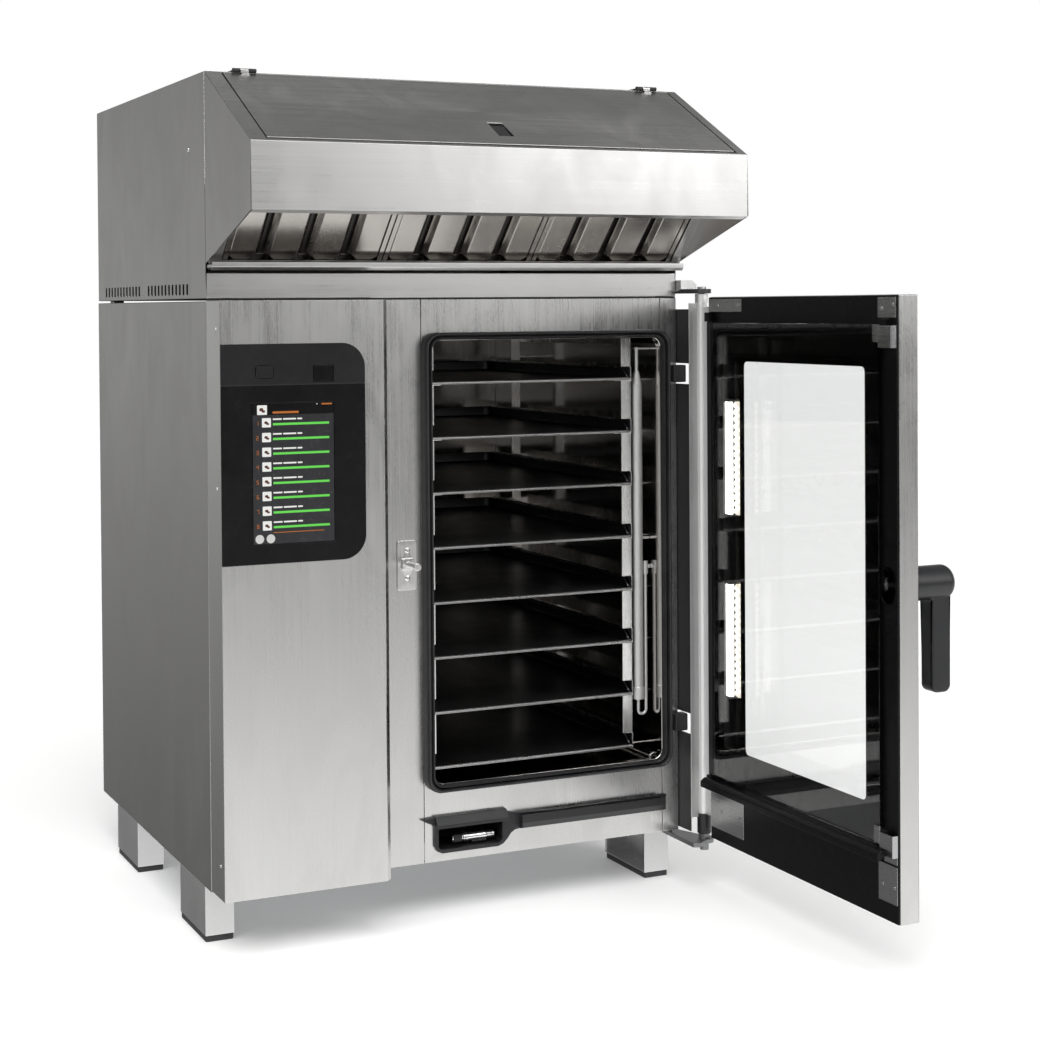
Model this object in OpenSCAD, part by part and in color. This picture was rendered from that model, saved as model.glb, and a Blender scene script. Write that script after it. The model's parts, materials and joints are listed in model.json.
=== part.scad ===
// Combination steam and convection oven for bakery trays, with its
// condensation hood on top.  Built from sheet-metal shells round a cavity.
// Drawn from the left, front, floor corner of the casing, then moved so that
// the origin lies on the floor in the middle of the four feet.
// +X to the right, +Y to the back, +Z up.  Millimetres.

/* [Cabinet] */
// Width over the side panels
body_w = 875; // [873:1:876]
// Depth from the control cover's front to the rear panel
body_d = 812.7; // [812:0.1:814]
// Height of the casing's underside over the floor
base_z = 94; // [93.5:0.5:94.5]
// Height of the casing's top over the floor
top_z = 1056; // [1055.5:0.5:1057]
// Thickness of the outer sheet
sheet = 1.5; // [1.2:0.1:1.5]

/* [Control column] */
// Width of the control cover
cover_w = 288; // [286:1:290]
// Width of the black control panel
bezel_w = 245; // [243:1:247]
// Lower edge of the black control panel
bezel_z0 = 633; // [631:1:634]
// Upper edge of the black control panel
bezel_z1 = 986; // [985:1:988]
// Radius of the panel's right corners
bezel_r = 40; // [30:1:44]

/* [Cavity] */
// Left edge of the cavity mouth
mouth_x0 = 392; // [392:0.5:393]
// Right edge of the cavity mouth
mouth_x1 = 835.5; // [835:0.5:836]
// Lower edge of the cavity mouth
mouth_z0 = 229.5; // [229:0.5:230]
// Upper edge of the cavity mouth
mouth_z1 = 986; // [985:0.5:987]
// Height of the lowest tray
tray_z0 = 250; // [249:0.5:251]
// Distance between trays
tray_pitch = 94.7; // [94:0.1:95]
// Width of a tray
tray_w = 400; // [399:0.5:400]
// Depth of a tray
tray_d = 600; // [590:1:600]
// Height of a tray's side rims
tray_h = 18; // [14:1:18]

/* [Door] */
// Width of the door leaf
leaf_w = 548; // [545:1:550]
// Thickness of the door shell
leaf_t = 34.5; // [34:0.5:35]
// Radius of the hinge pins
pin_r = 6; // [5.9:0.05:6]
// Radius of the handle's boss
boss_r = 27; // [25:0.5:28]
// Length of the grip below the boss centre
grip_l = 171; // [150:1:175]

/* [Hood] */
// Top of the hood over the floor
hood_z1 = 1427; // [1425:0.5:1428]
// How far the fascia stands in front of the control cover
fascia_y = 168; // [166:1:170]
// Lower edge of the fascia
fascia_z0 = 1192; // [1190:1:1194]
// Upper edge of the fascia
fascia_z1 = 1296.4; // [1296:0.1:1297]
// Radius of the exhaust outlet
exhaust_r = 75; // [60:1:80]

/* [Feet] */
// Width of a foot
foot_w = 50; // [48:1:50]
// Length of a foot
foot_l = 150; // [146:1:150]
// Radius of the fixing holes in the feet
foot_hole_r = 5; // [4:0.5:6]

/* [Hidden] */
$fn = 48;
foot_y = [112, 549];
foot_cy = (foot_y[0] + foot_y[1] + foot_l) / 2;
// Pivot of the door, of the inner pane, and of the handle
px0 = 905;
py0 = 34;
qx0 = 892;
qy0 = -10;
hy0 = -505;
hz0 = 608;
// Leaf, seen with the door square to the front
lx0 = 900.5;
lx1 = lx0 + leaf_t;
ly1 = -2;
ly0 = ly1 - leaf_w;
lz0 = 94;
lz1 = 1057.5;
// Fan axis, parallel to X
fy = 430;
fz = 608;
tray_x0 = 595 - tray_w / 2;
tray_zs = [for (i = [0:7]) tray_z0 + tray_pitch * i];
slope_a = atan((hood_z1 - fascia_z1) / (73.9 + fascia_y));
slope_l = (73.9 + fascia_y) / cos(slope_a);
// Height of the flap's pivot over the slope
flap_t = 4;

// ---- helpers -------------------------------------------------------------
module bx(x0, x1, y0, y1, z0, z1)
  translate([x0, y0, z0]) cube([x1 - x0, y1 - y0, z1 - z0]);
module xcyl(r, x0, x1, y, z)
  translate([x0, y, z]) rotate([0, 90, 0]) cylinder(r = r, h = x1 - x0);
module ycyl(r, y0, y1, x, z)
  translate([x, y1, z]) rotate([90, 0, 0]) cylinder(r = r, h = y1 - y0);
module zcyl(r, z0, z1, x, y)
  translate([x, y, z0]) cylinder(r = r, h = z1 - z0);
// rectangle with round corners, in two dimensions
module rr2(a0, a1, b0, b1, r) {
  translate([a0 + r, b0]) square([a1 - a0 - 2 * r, b1 - b0]);
  translate([a0, b0 + r]) square([a1 - a0, b1 - b0 - 2 * r]);
  for (a = [a0 + r, a1 - r], b = [b0 + r, b1 - r]) translate([a, b]) circle(r);
}
// outline in the XZ plane, drawn out along Y
module along_y(y0, y1)
  translate([0, y1, 0]) rotate([90, 0, 0]) linear_extrude(y1 - y0) children();
// outline in the YZ plane, drawn out along X
module along_x(x0, x1)
  translate([x0, 0, 0]) rotate([90, 0, 90]) linear_extrude(x1 - x0) children();
module rry(x0, x1, y0, y1, z0, z1, r) along_y(y0, y1) rr2(x0, x1, z0, z1, r);
module rrx(x0, x1, y0, y1, z0, z1, r) along_x(x0, x1) rr2(y0, y1, z0, z1, r);
// the hood's slope: y runs down the slope as minus, z stands off it
module on_slope() translate([0, 73.9, hood_z1]) rotate([slope_a, 0, 0]) children();
// the filters' plane, 45 degrees: y runs up it as minus, z goes behind it
module on_filter() translate([0, 62, 1118]) rotate([-45, 0, 0]) children();
module placed() translate([-body_w / 2, -foot_cy, 0]) children();

// ---- cabinet -------------------------------------------------------------
module base_frame() color("silver") {
  top_plate();
  for (x = [3, body_w - 43]) difference() {
    bx(x, x + 40, 90, 800, 96, 128);
    bx(x + 2, x + 38, 80, 810, 98, 126);
  }
  for (y = [212, 764]) difference() {
    bx(42, body_w - 42, y, y + 30, 98, 126);
    bx(40, body_w - 40, y + 2, y + 28, 100, 124);
  }
  difference() {
    bx(3, body_w - 3, 92, 806, 128, 129.5);
    bx(388, 536, 80, 158, 120, 140);
  }
}

module foot(x0, y0, s) {
  difference() {
    bx(x0, x0 + foot_w, y0, y0 + foot_l, 10, base_z);
    bx(x0 + (s > 0 ? 2 : -1), x0 + foot_w + (s > 0 ? 1 : -2), y0 + 2, y0 + foot_l - 2, 13, base_z - 3);
    zcyl(foot_hole_r, 8, 15, x0 + foot_w / 2, y0 + foot_l / 2);
  }
  bx(x0 + 10, x0 + foot_w - 10, y0 + 10, y0 + foot_l - 10, base_z - 0.5, 96);
}
module appliance_feet() color("silver")
  for (y = foot_y) { foot(0, y, 1); foot(body_w - foot_w, y, -1); }

module foot_pads() color("#1d1d1f")
  for (x = [0, body_w - foot_w], y = foot_y) difference() {
    rry2z(x + 1, x + foot_w - 1, y + 1, y + foot_l - 1, 0, 10, 4);
    zcyl(foot_hole_r, -1, 12, x + foot_w / 2, y + foot_l / 2);
  }
module rry2z(x0, x1, y0, y1, z0, z1, r)
  translate([0, 0, z0]) linear_extrude(z1 - z0) rr2(x0, x1, y0, y1, r);

module side_panel() {
  bx(0, sheet, 76.2, 811, base_z, top_z - 1);
  bx(sheet - 0.2, 16, 76.2, 77.7, base_z, top_z - 1);
  bx(sheet - 0.2, 16, 809.5, 811, base_z, top_z - 1);
  bx(sheet - 0.2, 14, 77, 810, top_z - 2.5, top_z - 1);
}
module left_side_panel() color("#c9c9cb") side_panel();
module right_side_panel() color("#c9c9cb") translate([body_w, 0, 0]) mirror([1, 0, 0]) side_panel();

module rear_panel() color("#b9babc") difference() {
  union() {
    bx(0, body_w, 811.2, body_d, base_z, top_z - 1);
    for (x = [300, 575]) bx(x, x + 40, 806, 811.4, 300, 900);
  }
  ycyl(13.6, 800, 820, 140, 170);
  ycyl(13.6, 800, 820, 200, 170);
  ycyl(14.4, 800, 820, 80, 170);
  ycyl(25.6, 800, 820, 600, 158);
  for (i = [0:11]) rry(60 + i * 15, 67 + i * 15, 800, 820, 560, 640, 3.4);
}

module top_plate() difference() {
  union() {
    bx(2, body_w - 2, 80, 809, top_z - 4.5, top_z - 3);
    for (x = [18, body_w - 38], y = [100, 760]) bx(x, x + 20, y, y + 30, top_z - 3.5, 1059);
  }
  zcyl(24, 1040, 1060, 700, 650);
  zcyl(30, 1040, 1060, 130, 600);
}

// Recessed stainless front: three plates with narrow seams between them
module trim_outline() polygon([[367, 170], [391, 171.8], [449, 173], [499, 174.2], [508, 173], [521, 168],
  [545, 163], [612, 160.5], [711, 160.5], [848, 161.5], [842, 151], [831, 137], [711, 135.3], [554, 135],
  [544, 133.5], [537, 129], [530, 120], [522, 112], [512, 108.5], [407, 108.5], [398, 112.5], [393, 121],
  [392.7, 154], [387, 160.5], [380, 163]]);
module front_frame() color("#c4c4c6") {
  difference() {
    bx(2, 375.4, 74, 76, base_z, top_z);
    rry(24, 262, 70, 80, 130, 1020, 15);
    for (z = [584, 631]) ycyl(3, 70, 80, 347, z);
  }
  difference() {
    union() {
      bx(376.4, 841.4, 74, 76, base_z, top_z);
      bx(376.4, 841.4, 75, 88, base_z, base_z + 1.5);
    }
    rry(mouth_x0 - 2.6, mouth_x1 + 2.6, 70, 80, mouth_z0 - 2.6, mouth_z1 + 2.6, 20);
    rry(395.4, 526.6, 70, 80, 111, 167, 8);
  }
  bx(842.4, body_w, 74, 76, base_z, top_z);
}

module control_cover() color("#cfcfd1") difference() {
  union() {
    translate([0, 0, 96]) linear_extrude(top_z - 96) polygon([[0, 73.4], [0, 1.5], [1.5, 0], [cover_w - 9, 0],
      [cover_w, 9], [cover_w, 73.4], [cover_w - 1.5, 73.4], [cover_w - 1.5, 9.6], [cover_w - 9.6, 1.5], [2.1, 1.5],
      [1.5, 2.1], [1.5, 73.4]]);
    for (z = [96, top_z - 1.5]) translate([0, 0, z]) linear_extrude(1.5)
      polygon([[0.5, 73.4], [0.5, 1.5], [1.5, 0.5], [cover_w - 9.2, 0.5], [cover_w - 0.5, 9.2], [cover_w - 0.5, 73.4]]);
  }
  rry(16, 228, -1, 3, 652, 968, 8);
}

module bezel_half(z0, z1, zc, zs) along_y(-2.2, -0.1) intersection() {
  translate([0, z0]) square([bezel_w, z1 - z0]);
  union() {
    translate([0, z0]) square([bezel_w - bezel_r, z1 - z0]);
    translate([0, zs]) square([bezel_w, z1 - z0 - bezel_r]);
    translate([bezel_w - bezel_r, zc]) circle(bezel_r);
  }
}
module control_bezel() color("#111214") {
  // lower panel with the window for the screen
  difference() {
    union() {
      bezel_half(bezel_z0, 919.6, bezel_z0 + bezel_r, bezel_z0 + bezel_r);
      bx(18, 226, -0.3, 12, 655, 915);
    }
    bx(51.5, 190.5, -4, 20, 664.5, 891.5);
  }
  // upper strip with the button, the connector flap and the indicator
  difference() {
    union() {
      bezel_half(920.4, bezel_z1, bezel_z1 - bezel_r, 920.4);
      bx(40, 226, -0.3, 12, 921, 965);
    }
    rry(57.5, 88.5, -4, 20, 930.5, 951.5, 7);
    bx(155.6, 190.4, -4, 0.2, 923.6, 950.8);
    bx(164, 182, -1, 20, 930, 942);
    xcyl(0.85, 153.5, 192.5, -1.1, 949.6);
    ycyl(2, -4, -1.4, 216, 966);
  }
}
module touch_screen() color("#30343a") bx(52, 190, -1.9, 3, 665, 891);
module electronics_box() color("#8f9295") {
  difference() {
    bx(30, 214, 14, 54, 656, 914);
    bx(32, 212, 12, 52, 658, 912);
  }
  bx(52, 190, 3.4, 13, 667, 889);
  difference() {
    bx(24, 90, 150, 420, 480, 900);
    bx(26, 91, 152, 418, 482, 898);
  }
  bx(30, 34, 160, 410, 490, 890);
  // gland for the supply lead, in the rear panel
  difference() {
    union() {
      ycyl(14, 800, 822, 80, 170);
      ycyl(17, body_d, 818, 80, 170);
      ycyl(17, 806, 811.2, 80, 170);
      translate([80, 821.9, 170]) rotate([-90, 0, 0]) cylinder(r1 = 14, r2 = 11, h = 13);
    }
    ycyl(8, 795, 840, 80, 170);
  }
}
module power_button() color("#1a1b1d") {
  rry(58, 88, -3.4, 1, 931, 951, 6.5);
  ycyl(4, 0.9, 9, 73, 941);
}
module usb_flap() color("#1a1b1d") {
  bx(156.2, 189.8, -2.1, -0.1, 924.2, 949.6);
  xcyl(1, 156.2, 189.8, -1.1, 949.6);
  xcyl(0.8, 153.8, 192.2, -1.1, 949.6);
  bx(168, 178, -3, -2, 925, 927);
}

// ---- cavity --------------------------------------------------------------
module cavity_liner() color("#b4b6b8") difference() {
  union() {
    bx(262, 841, 78, 774, 222, 994);
    rry(mouth_x0 - 2, mouth_x1 + 2, 64, 80, mouth_z0 - 2, mouth_z1 + 2, 19);
  }
  rry(264, 839, 80, 772, 224, 992, 18);
  rry(mouth_x0, mouth_x1, 60, 90, mouth_z0, mouth_z1, 17);
  xcyl(12, 255, 270, fy, fz);
  zcyl(20.2, 985, 1000, 700, 650);
  zcyl(18, 215, 230, 600, fy);
}
module cavity_gasket() color("#151515") difference() {
  rry(375, 852.5, 50, 74, 215.5, 1000, 26);
  rry(mouth_x0 - 2.3, mouth_x1 + 2.3, 45, 80, mouth_z0 - 2.3, mouth_z1 + 2.3, 19.3);
}
module cavity_insulation() color("#d8cfa8") difference() {
  bx(232, 872, 92, 806, 190, 1040);
  bx(261.5, 841.5, 80, 774.5, 221.5, 994.5);
  xcyl(24, 225, 265, fy, fz);
  zcyl(24, 990, 1045, 700, 650);
  zcyl(22, 180, 225, 600, fy);
  for (x = [300, 575]) bx(x - 1, x + 41, 800, 810, 295, 905);
}
module strike_plate() color("#d4d4d6") difference() {
  union() {
    rry(329, 365, 71.4, 74, 563, 648, 5);
    rry(336, 358, 66, 71.6, 598, 618, 4);
    ycyl(4.5, 29, 67, 347, 608);
    ycyl(6.5, 24, 30, 347, 608);
  }
  for (z = [584, 631]) ycyl(2.7, 70, 75, 347, z);
}
module suction_panel() color("#b4b6b8") difference() {
  union() {
    bx(386, 388, 100, 752, 250, 966);
    for (y = [150, 700], z = [300, 916]) xcyl(5, 264, 387, y, z);
    for (y = [118, 573], z = [285, 950]) xcyl(4, 387.5, 392.4, y, z);
  }
  translate([0, fy, fz]) for (a = [0:15:345]) rotate([a, 0, 0]) bx(380, 395, -4, 4, 62, 122);
  xcyl(30, 380, 395, fy, fz);
}
module fan_motor() color("#6f7478") {
  xcyl(70, 112, 224, fy, fz);
  for (i = [0:5]) xcyl(74, 124 + i * 16, 130 + i * 16, fy, fz);
  xcyl(85, 224, 230.5, fy, fz);
  xcyl(7, 230, 352, fy, fz);
  bx(140, 200, fy - 30, fy + 30, fz + 60, fz + 98);
}
module fan_wheel() color("#a9acb0") difference() {
  union() {
    xcyl(18, 312, 345, fy, fz);
    xcyl(150, 312, 314.5, fy, fz);
    difference() { xcyl(150, 357, 359, fy, fz); xcyl(112, 350, 365, fy, fz); }
    translate([0, fy, fz]) for (a = [0:20:340]) rotate([a, 0, 0]) bx(314, 358, -1, 1, 108, 147);
  }
  xcyl(7.05, 300, 350, fy, fz);
}
module heating_element() color("#5d5a58") {
  for (x = [322, 337, 352]) translate([x, fy, fz]) rotate([0, 90, 0])
    rotate_extrude($fn = 40) translate([172, 0]) circle(5, $fn = 14);
  for (a = [0, 60, 180, 300]) translate([0, fy, fz]) rotate([a, 0, 0]) bx(264, 359, -6, 6, 173, 179);
}

// Racks: notched uprights and angle runners, one side of the cavity each
module rack(xa, xb) {
  // xa: face towards the wall, xb: face towards the trays
  s = xb > xa ? 1 : -1;
  module seg(u0, u1, y0, y1, z0, z1)
    bx(min(xa + s * u0, xa + s * u1), max(xa + s * u0, xa + s * u1), y0, y1, z0, z1);
  difference() {
    union() {
      for (y = [106, 566]) seg(0, abs(xb - xa), y, y + 14, 262, 984);
      for (y = [106, 566]) for (z = [264, 972]) seg(0, abs(xb - xa), y, y + 14, z, z + 10);
    }
    for (z = tray_zs, y = [106, 566]) seg(1.5, 60, y - 1, y + 15, z - 3.3, z + tray_h + 3);
    for (y = [106, 566]) seg(5, 40, y + 2, y + 20, 270, 976);
  }
  for (z = tray_zs) {
    seg(0, 34, 104, 700, z - 5, z - 3.3);
    seg(0, 1.5, 104, 700, z - 5, z + tray_h + 2);
    seg(0, abs(xb - xa), 106, 120, z - 5, z - 3.3);
  }
}
module left_rack() color("#d8d8da") rack(392.6, 413);
module right_rack() color("#d8d8da") {
  rack(799.2, 779.5);
  for (z = tray_zs) bx(799, 838.6, 130, 134, z - 5, z - 3);
  for (z = [300, 640, 940]) bx(799, 838.6, 570, 576, z, z + 3);
  bx(797.7, 799.2, 120, 566, 972, 982);
  bx(797.7, 799.2, 120, 566, 264, 274);
}
// Core probe parked in its tube; its lead is clipped from the collar to the wall
module core_probe() color("#a7a8a6") {
  zcyl(10, 352, 900, 814, 112);
  translate([814, 112, 900]) cylinder(r1 = 9.6, r2 = 5, h = 24);
  zcyl(3.6, 920, 968, 814, 112);
  bx(808, 838.6, 107, 117, 964, 967);
  bx(820, 838.6, 110, 114, 620, 624);
  zcyl(12, 330, 352, 814, 112);
  zcyl(3.2, 309, 331, 814, 112);
  translate([822, 112, 310]) rotate([-90, 0, 0]) rotate_extrude(angle = 180, $fn = 32) translate([8, 0]) circle(2.9, $fn = 16);
  zcyl(3.2, 309, 560, 830, 112);
  zcyl(5.2, 556, 580, 830, 112);
  xcyl(4, 830, 838.6, 112, 570);
}

module tray(z) color("#55585c") {
  x1 = tray_x0 + tray_w;
  bx(tray_x0, x1, 102, 102 + tray_d, z - 3, z - 1.5);
  for (x = [tray_x0, x1 - 1.5]) along_x(x, x + 1.5)
    polygon([[108, z - 3], [102 + tray_d, z - 3], [102 + tray_d, z + tray_h], [126, z + tray_h], [108, z + 2]]);
  bx(tray_x0, x1, 100.5 + tray_d, 102 + tray_d, z - 3, z + tray_h);
  along_x(tray_x0 + 2, x1 - 2) polygon([[103, z - 3], [103, z - 1.5], [101, z + 1.5], [98, z + 1.5], [96, z - 0.5], [96, z - 3.5],
    [97.3, z - 3.5], [97.3, z - 1], [98.6, z + 0.2], [100.4, z + 0.2], [101.6, z - 3]]);
}
module tray_1() tray(tray_zs[0]);
module tray_2() tray(tray_zs[1]);
module tray_3() tray(tray_zs[2]);
module tray_4() tray(tray_zs[3]);
module tray_5() tray(tray_zs[4]);
module tray_6() tray(tray_zs[5]);
module tray_7() tray(tray_zs[6]);
module tray_8() tray(tray_zs[7]);

// ---- drip channel and hand shower ------------------------------------------
module shower_recess() color("#17181a") {
  difference() {
    union() {
      along_y(68, 74) trim_outline();
      // visor over the handset
      along_x(393, 527) polygon([[73.9, 173], [66, 173], [56, 160], [56, 154], [66, 156], [73.9, 164]]);
      // gutter under the door
      along_x(552, 838) polygon([[70, 136], [62, 136], [54, 147], [54, 160.5], [56.5, 160.5], [56.5, 148], [63.2, 138.6], [70, 138.6]]);
      bx(552, 554, 55, 70, 138, 158);
      bx(836, 838, 55, 70, 138, 158);
      // box behind the front plate
      rry(396, 526, 73, 150, 111.6, 166.4, 7);
    }
    rry(400, 520, 60, 147, 115, 156, 8);
  }
}
module hand_shower() color("#cfcfcf") {
  xcyl(9.5, 453, 498, 92, 126);
  xcyl(10.4, 456, 459, 92, 126);
  xcyl(8, 497, 512, 92, 126);
  along_x(432, 453.2) rr2(84, 100, 118, 134, 4);
  ycyl(6, 92, 118, 474, 126);
}
module bumper_blocks() color("#18191b") {
  rrx(858, 883, 52, 74, 905, 936, 3);
  rrx(858, 883, 52, 74, 277, 308, 3);
}

// ---- door hinge ----------------------------------------------------------
module hinge_brackets() color("#8b8d8f") {
  difference() {
    union() {
      translate([0, 0, 78]) linear_extrude(8) union() {
        polygon([[866, 111.5], [866, 6], [878, 2], [900, 17.8], [920, 42], [905, 60], [885, 111.5]]);
        translate([px0, py0]) circle(17);
      }
      bx(860, 872, 92, 111, 85.9, 96);
    }
    zcyl(pin_r + 0.02, 70, 90, px0, py0);
  }
  difference() {
    union() {
      bx(body_w, 879.5, 84, 124, 1040, 1088);
      translate([0, 0, 1064]) linear_extrude(8) union() {
        polygon([[body_w, 124], [body_w, 52], [882, 30], [890, 20], [905, 17.1], [921.5, 30], [914, 50], [890, 84], [879.5, 124]]);
        translate([px0, py0]) circle(17);
      }
      along_y(56, 60) polygon([[body_w, 1071], [body_w, 1088], [899, 1088], [908, 1080], [908, 1071]]);
      bx(body_w, 879, 59, 86, 1071, 1088);
    }
    zcyl(pin_r + 0.02, 1060, 1080, px0, py0);
  }
  // pins with their heads, and the washers the door stands on
  zcyl(pin_r, 77.9, 130, px0, py0);
  zcyl(8, 64, 78, px0, py0);
  difference() { zcyl(10, 86, 93.7, px0, py0); zcyl(pin_r, 80, 95, px0, py0); }
  zcyl(pin_r, 1008, 1073, px0, py0);
  zcyl(8, 1072.02, 1076, px0, py0);
}
module hinge_profile() color("#d9dadb") difference() {
  union() {
    zcyl(10.4, 94, 1047, px0, py0);
    zcyl(12, 1047, 1063.5, px0, py0);
    bx(878, 900, py0 - 1.2, py0 + 1.2, 124, 1047);
    bx(902, 914, ly1 + 0.1, py0 - 4, 130, 1040);
  }
  zcyl(pin_r + 0.06, 90, 140, px0, py0);
  zcyl(7.5, 139.9, 1000, px0, py0);
  zcyl(pin_r + 0.06, 999.9, 1070, px0, py0);
}

// ---- door ----------------------------------------------------------------
module door_shell() color("#cfd0d2") difference() {
  union() {
    difference() {
      bx(lx0, lx1, ly0, ly1, lz0, lz1);
      bx(lx0 + 1.8, lx1 + 1, ly0 + 2, ly1 - 2, lz0 + 2, lz1 - 2);
    }
    bx(lx0, 929, -494, -44, 204, 1012);
  }
  bx(lx0 - 1, 931, -492, -46, 206, 1010);
  // room for the latch case
  bx(lx0 - 1, 929.1, ly0 + 2, -491.9, 550, 666);
}
module outer_glass() color([0.1, 0.1, 0.12, 0.5]) difference() {
  bx(931, lx1, ly0 + 2.3, ly1 - 2.3, lz0 + 2.3, lz1 - 2.3);
  xcyl(8, 925, 940, hy0, hz0);
}
module door_inner_frame() color("#161719") difference() {
  union() {
    difference() {
      bx(897, 900.4, ly0 + 1, ly1 - 1, lz0 + 1, lz1 - 1);
      bx(890, 902, -492, -46, 206, 1010);
      bx(890, 902, ly0, -491.9, 539.7, 676.3);
    }
    // drip rail under the pane
    along_y(-530, -8) polygon([[897.2, 206], [880, 206], [872, 200], [872, 190], [875, 190], [884, 197], [897.2, 197]]);
    // sockets of the pane's pivots
    rry2z(886, 897.1, -20, -5, 1014, 1030, 2);
    rry2z(886, 897.1, -20, -5, 205.9, 209.5, 2);
    // snaps at the pane's free side
    bx(888.5, 897.1, -531, -516, 996, 1020);
    bx(888.5, 897.1, -531, -516, 214, 238);
  }
  zcyl(2.56, 1010, 1024, qx0, qy0);
  zcyl(2.56, 202, 212, qx0, qy0);
}
// Case round the latch hook: keyway plate, walls and the handle's bearing
module latch_case() color("#131416") difference() {
  union() {
    bx(897, 900.4, ly0 + 1, -492.2, 540, 676);
    difference() {
      bx(900.3, 926, ly0 + 2.6, -492.2, 551, 665);
      bx(900.2, 922, ly0 + 4.6, -494, 553, 663);
    }
    xcyl(9, 918.8, 929.5, hy0, hz0);
  }
  rrx(896, 901, -543, -505, 582, 640, 18.9);
  xcyl(5.06, 895, 935, hy0, hz0);
}
module door_lights() color("#f4f4f0") for (z = [352, 672]) {
  rrx(904, 912, -63, -47, z, z + 206, 4);
  bx(911.9, 922, -62, -46, z + 2, z + 204);
}
module inner_glass() color([0.1, 0.1, 0.12, 0.5])
  bx(889.5, 893.5, -512, -22, 212, 1012);
module pane_hinge_bar() color("#202123") {
  difference() {
    union() {
      bx(889.5, 895.4, -25, -9.2, 212, 1012);
      zcyl(2.8, 212, 1012, qx0, qy0);
    }
    bx(889.4, 893.5, -26, -22, 211, 1013);
  }
  zcyl(2.5, 1011.9, 1022, qx0, qy0);
  zcyl(2.5, 206.5, 212.1, qx0, qy0);
}
module door_handle() color("#26272a") difference() {
  union() {
    translate([935.4, hy0, hz0]) rotate([0, 90, 0]) rotate_extrude() polygon(concat([[0, 0], [boss_r - 2, 0], [boss_r, 2]],
      [for (a = [0:10:90]) [boss_r - 14 + 14 * cos(a), 76 + 14 * sin(a)]], [[0, 90]]));
    rry(984, 1020, hy0 - 15, hy0 + 15, hz0 - grip_l, hz0, 12);
  }
  xcyl(5.02, 930, 965, hy0, hz0);
}
module latch_hook() color("#c2c4c6") {
  xcyl(5, 903, 962, hy0, hz0);
  xcyl(8.5, 904, 908, hy0, hz0);
  difference() {
    union() {
      bx(904, 908, hy0 - 5, hy0 + 5, hz0 + 4, hz0 + 19);
      xcyl(10, 904, 908, hy0, hz0 + 19);
    }
    xcyl(5.6, 900, 910, hy0, hz0 + 19);
    bx(900, 910, hy0 - 20, hy0, hz0 + 13.4, hz0 + 24.6);
  }
}

// ---- services ------------------------------------------------------------
module cavity_pipes() color("#b0b2b4") {
  difference() {
    zcyl(20, 991.8, 1085, 700, 650);
    zcyl(18, 990, 1090, 700, 650);
  }
  difference() {
    union() {
      zcyl(17.9, 158, 223.5, 600, fy);
      ycyl(17.9, fy, 800, 600, 158);
      ycyl(24, 790, 813.5, 600, 158);
      ycyl(25, 813, 843, 600, 158);
    }
    zcyl(15.5, 158, 226, 600, fy);
    ycyl(15.5, fy, 850, 600, 158);
  }
}
module water_inlets() color("#b08d57") for (x = [140, 200]) {
  difference() {
    union() {
      ycyl(13.2, 790, 831.2, x, 170);
      ycyl(18, 812.7, 815.2, x, 170);
      bx(x - 16, x + 16, 730, 792, 154, 186);
      zcyl(13, 185, 220, x, 760);
    }
    ycyl(9, 795, 835, x, 170);
  }
}
module panel_screws() color("#d0d0d0") {
  for (z = [584, 631]) { ycyl(4.6, 69.3, 71.4, 347, z); ycyl(2.6, 71.4, 77.6, 347, z); }
  for (x = [-1.3, body_w], y = [168]) xcyl(4.2, x, x + 1.3, y, 1306);
  for (z = [150, 755, 1010]) xcyl(3.4, -1, 0, 22, z);
  for (z = [1052, 1080]) xcyl(4.2, 879.5, 881.7, 104, z);
  for (x = [20, 437.5, 855], z = [108, 1040]) ycyl(4, body_d, body_d + 2, x, z);
}

// ---- hood ----------------------------------------------------------------
module hood_body() color("#cacacc") difference() {
  union() {
    for (x = [0, body_w - sheet]) bx(x, x + sheet, 74.5, 811, 1059, hood_z1);
    bx(1, body_w - 1, 74.5, 811, hood_z1 - 1.5, hood_z1);
    bx(1, body_w - 1, 809.5, 811, 1059, hood_z1 - 1);
    bx(1, body_w - 1, 74.5, 76, 1059, 1101);
    bx(1, body_w - 1, 74.5, 90, 1099.5, 1101);
    for (x = [1, body_w - 41]) bx(x, x + 40, 76, 810, 1059, 1060.5);
    zcyl(exhaust_r + 1.5, 1395, hood_z1 - 1, 437.5, 450);
  }
  zcyl(exhaust_r, 1390, 1430, 437.5, 450);
  for (i = [0:11]) for (x = [-1, body_w - 3]) {
    bx(x, x + 4, 178 + i * 22.6, 190 + i * 22.6, 1066, 1084);
    bx(x, x + 4, 492 + i * 22.6, 504 + i * 22.6, 1066, 1084);
  }
}
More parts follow.
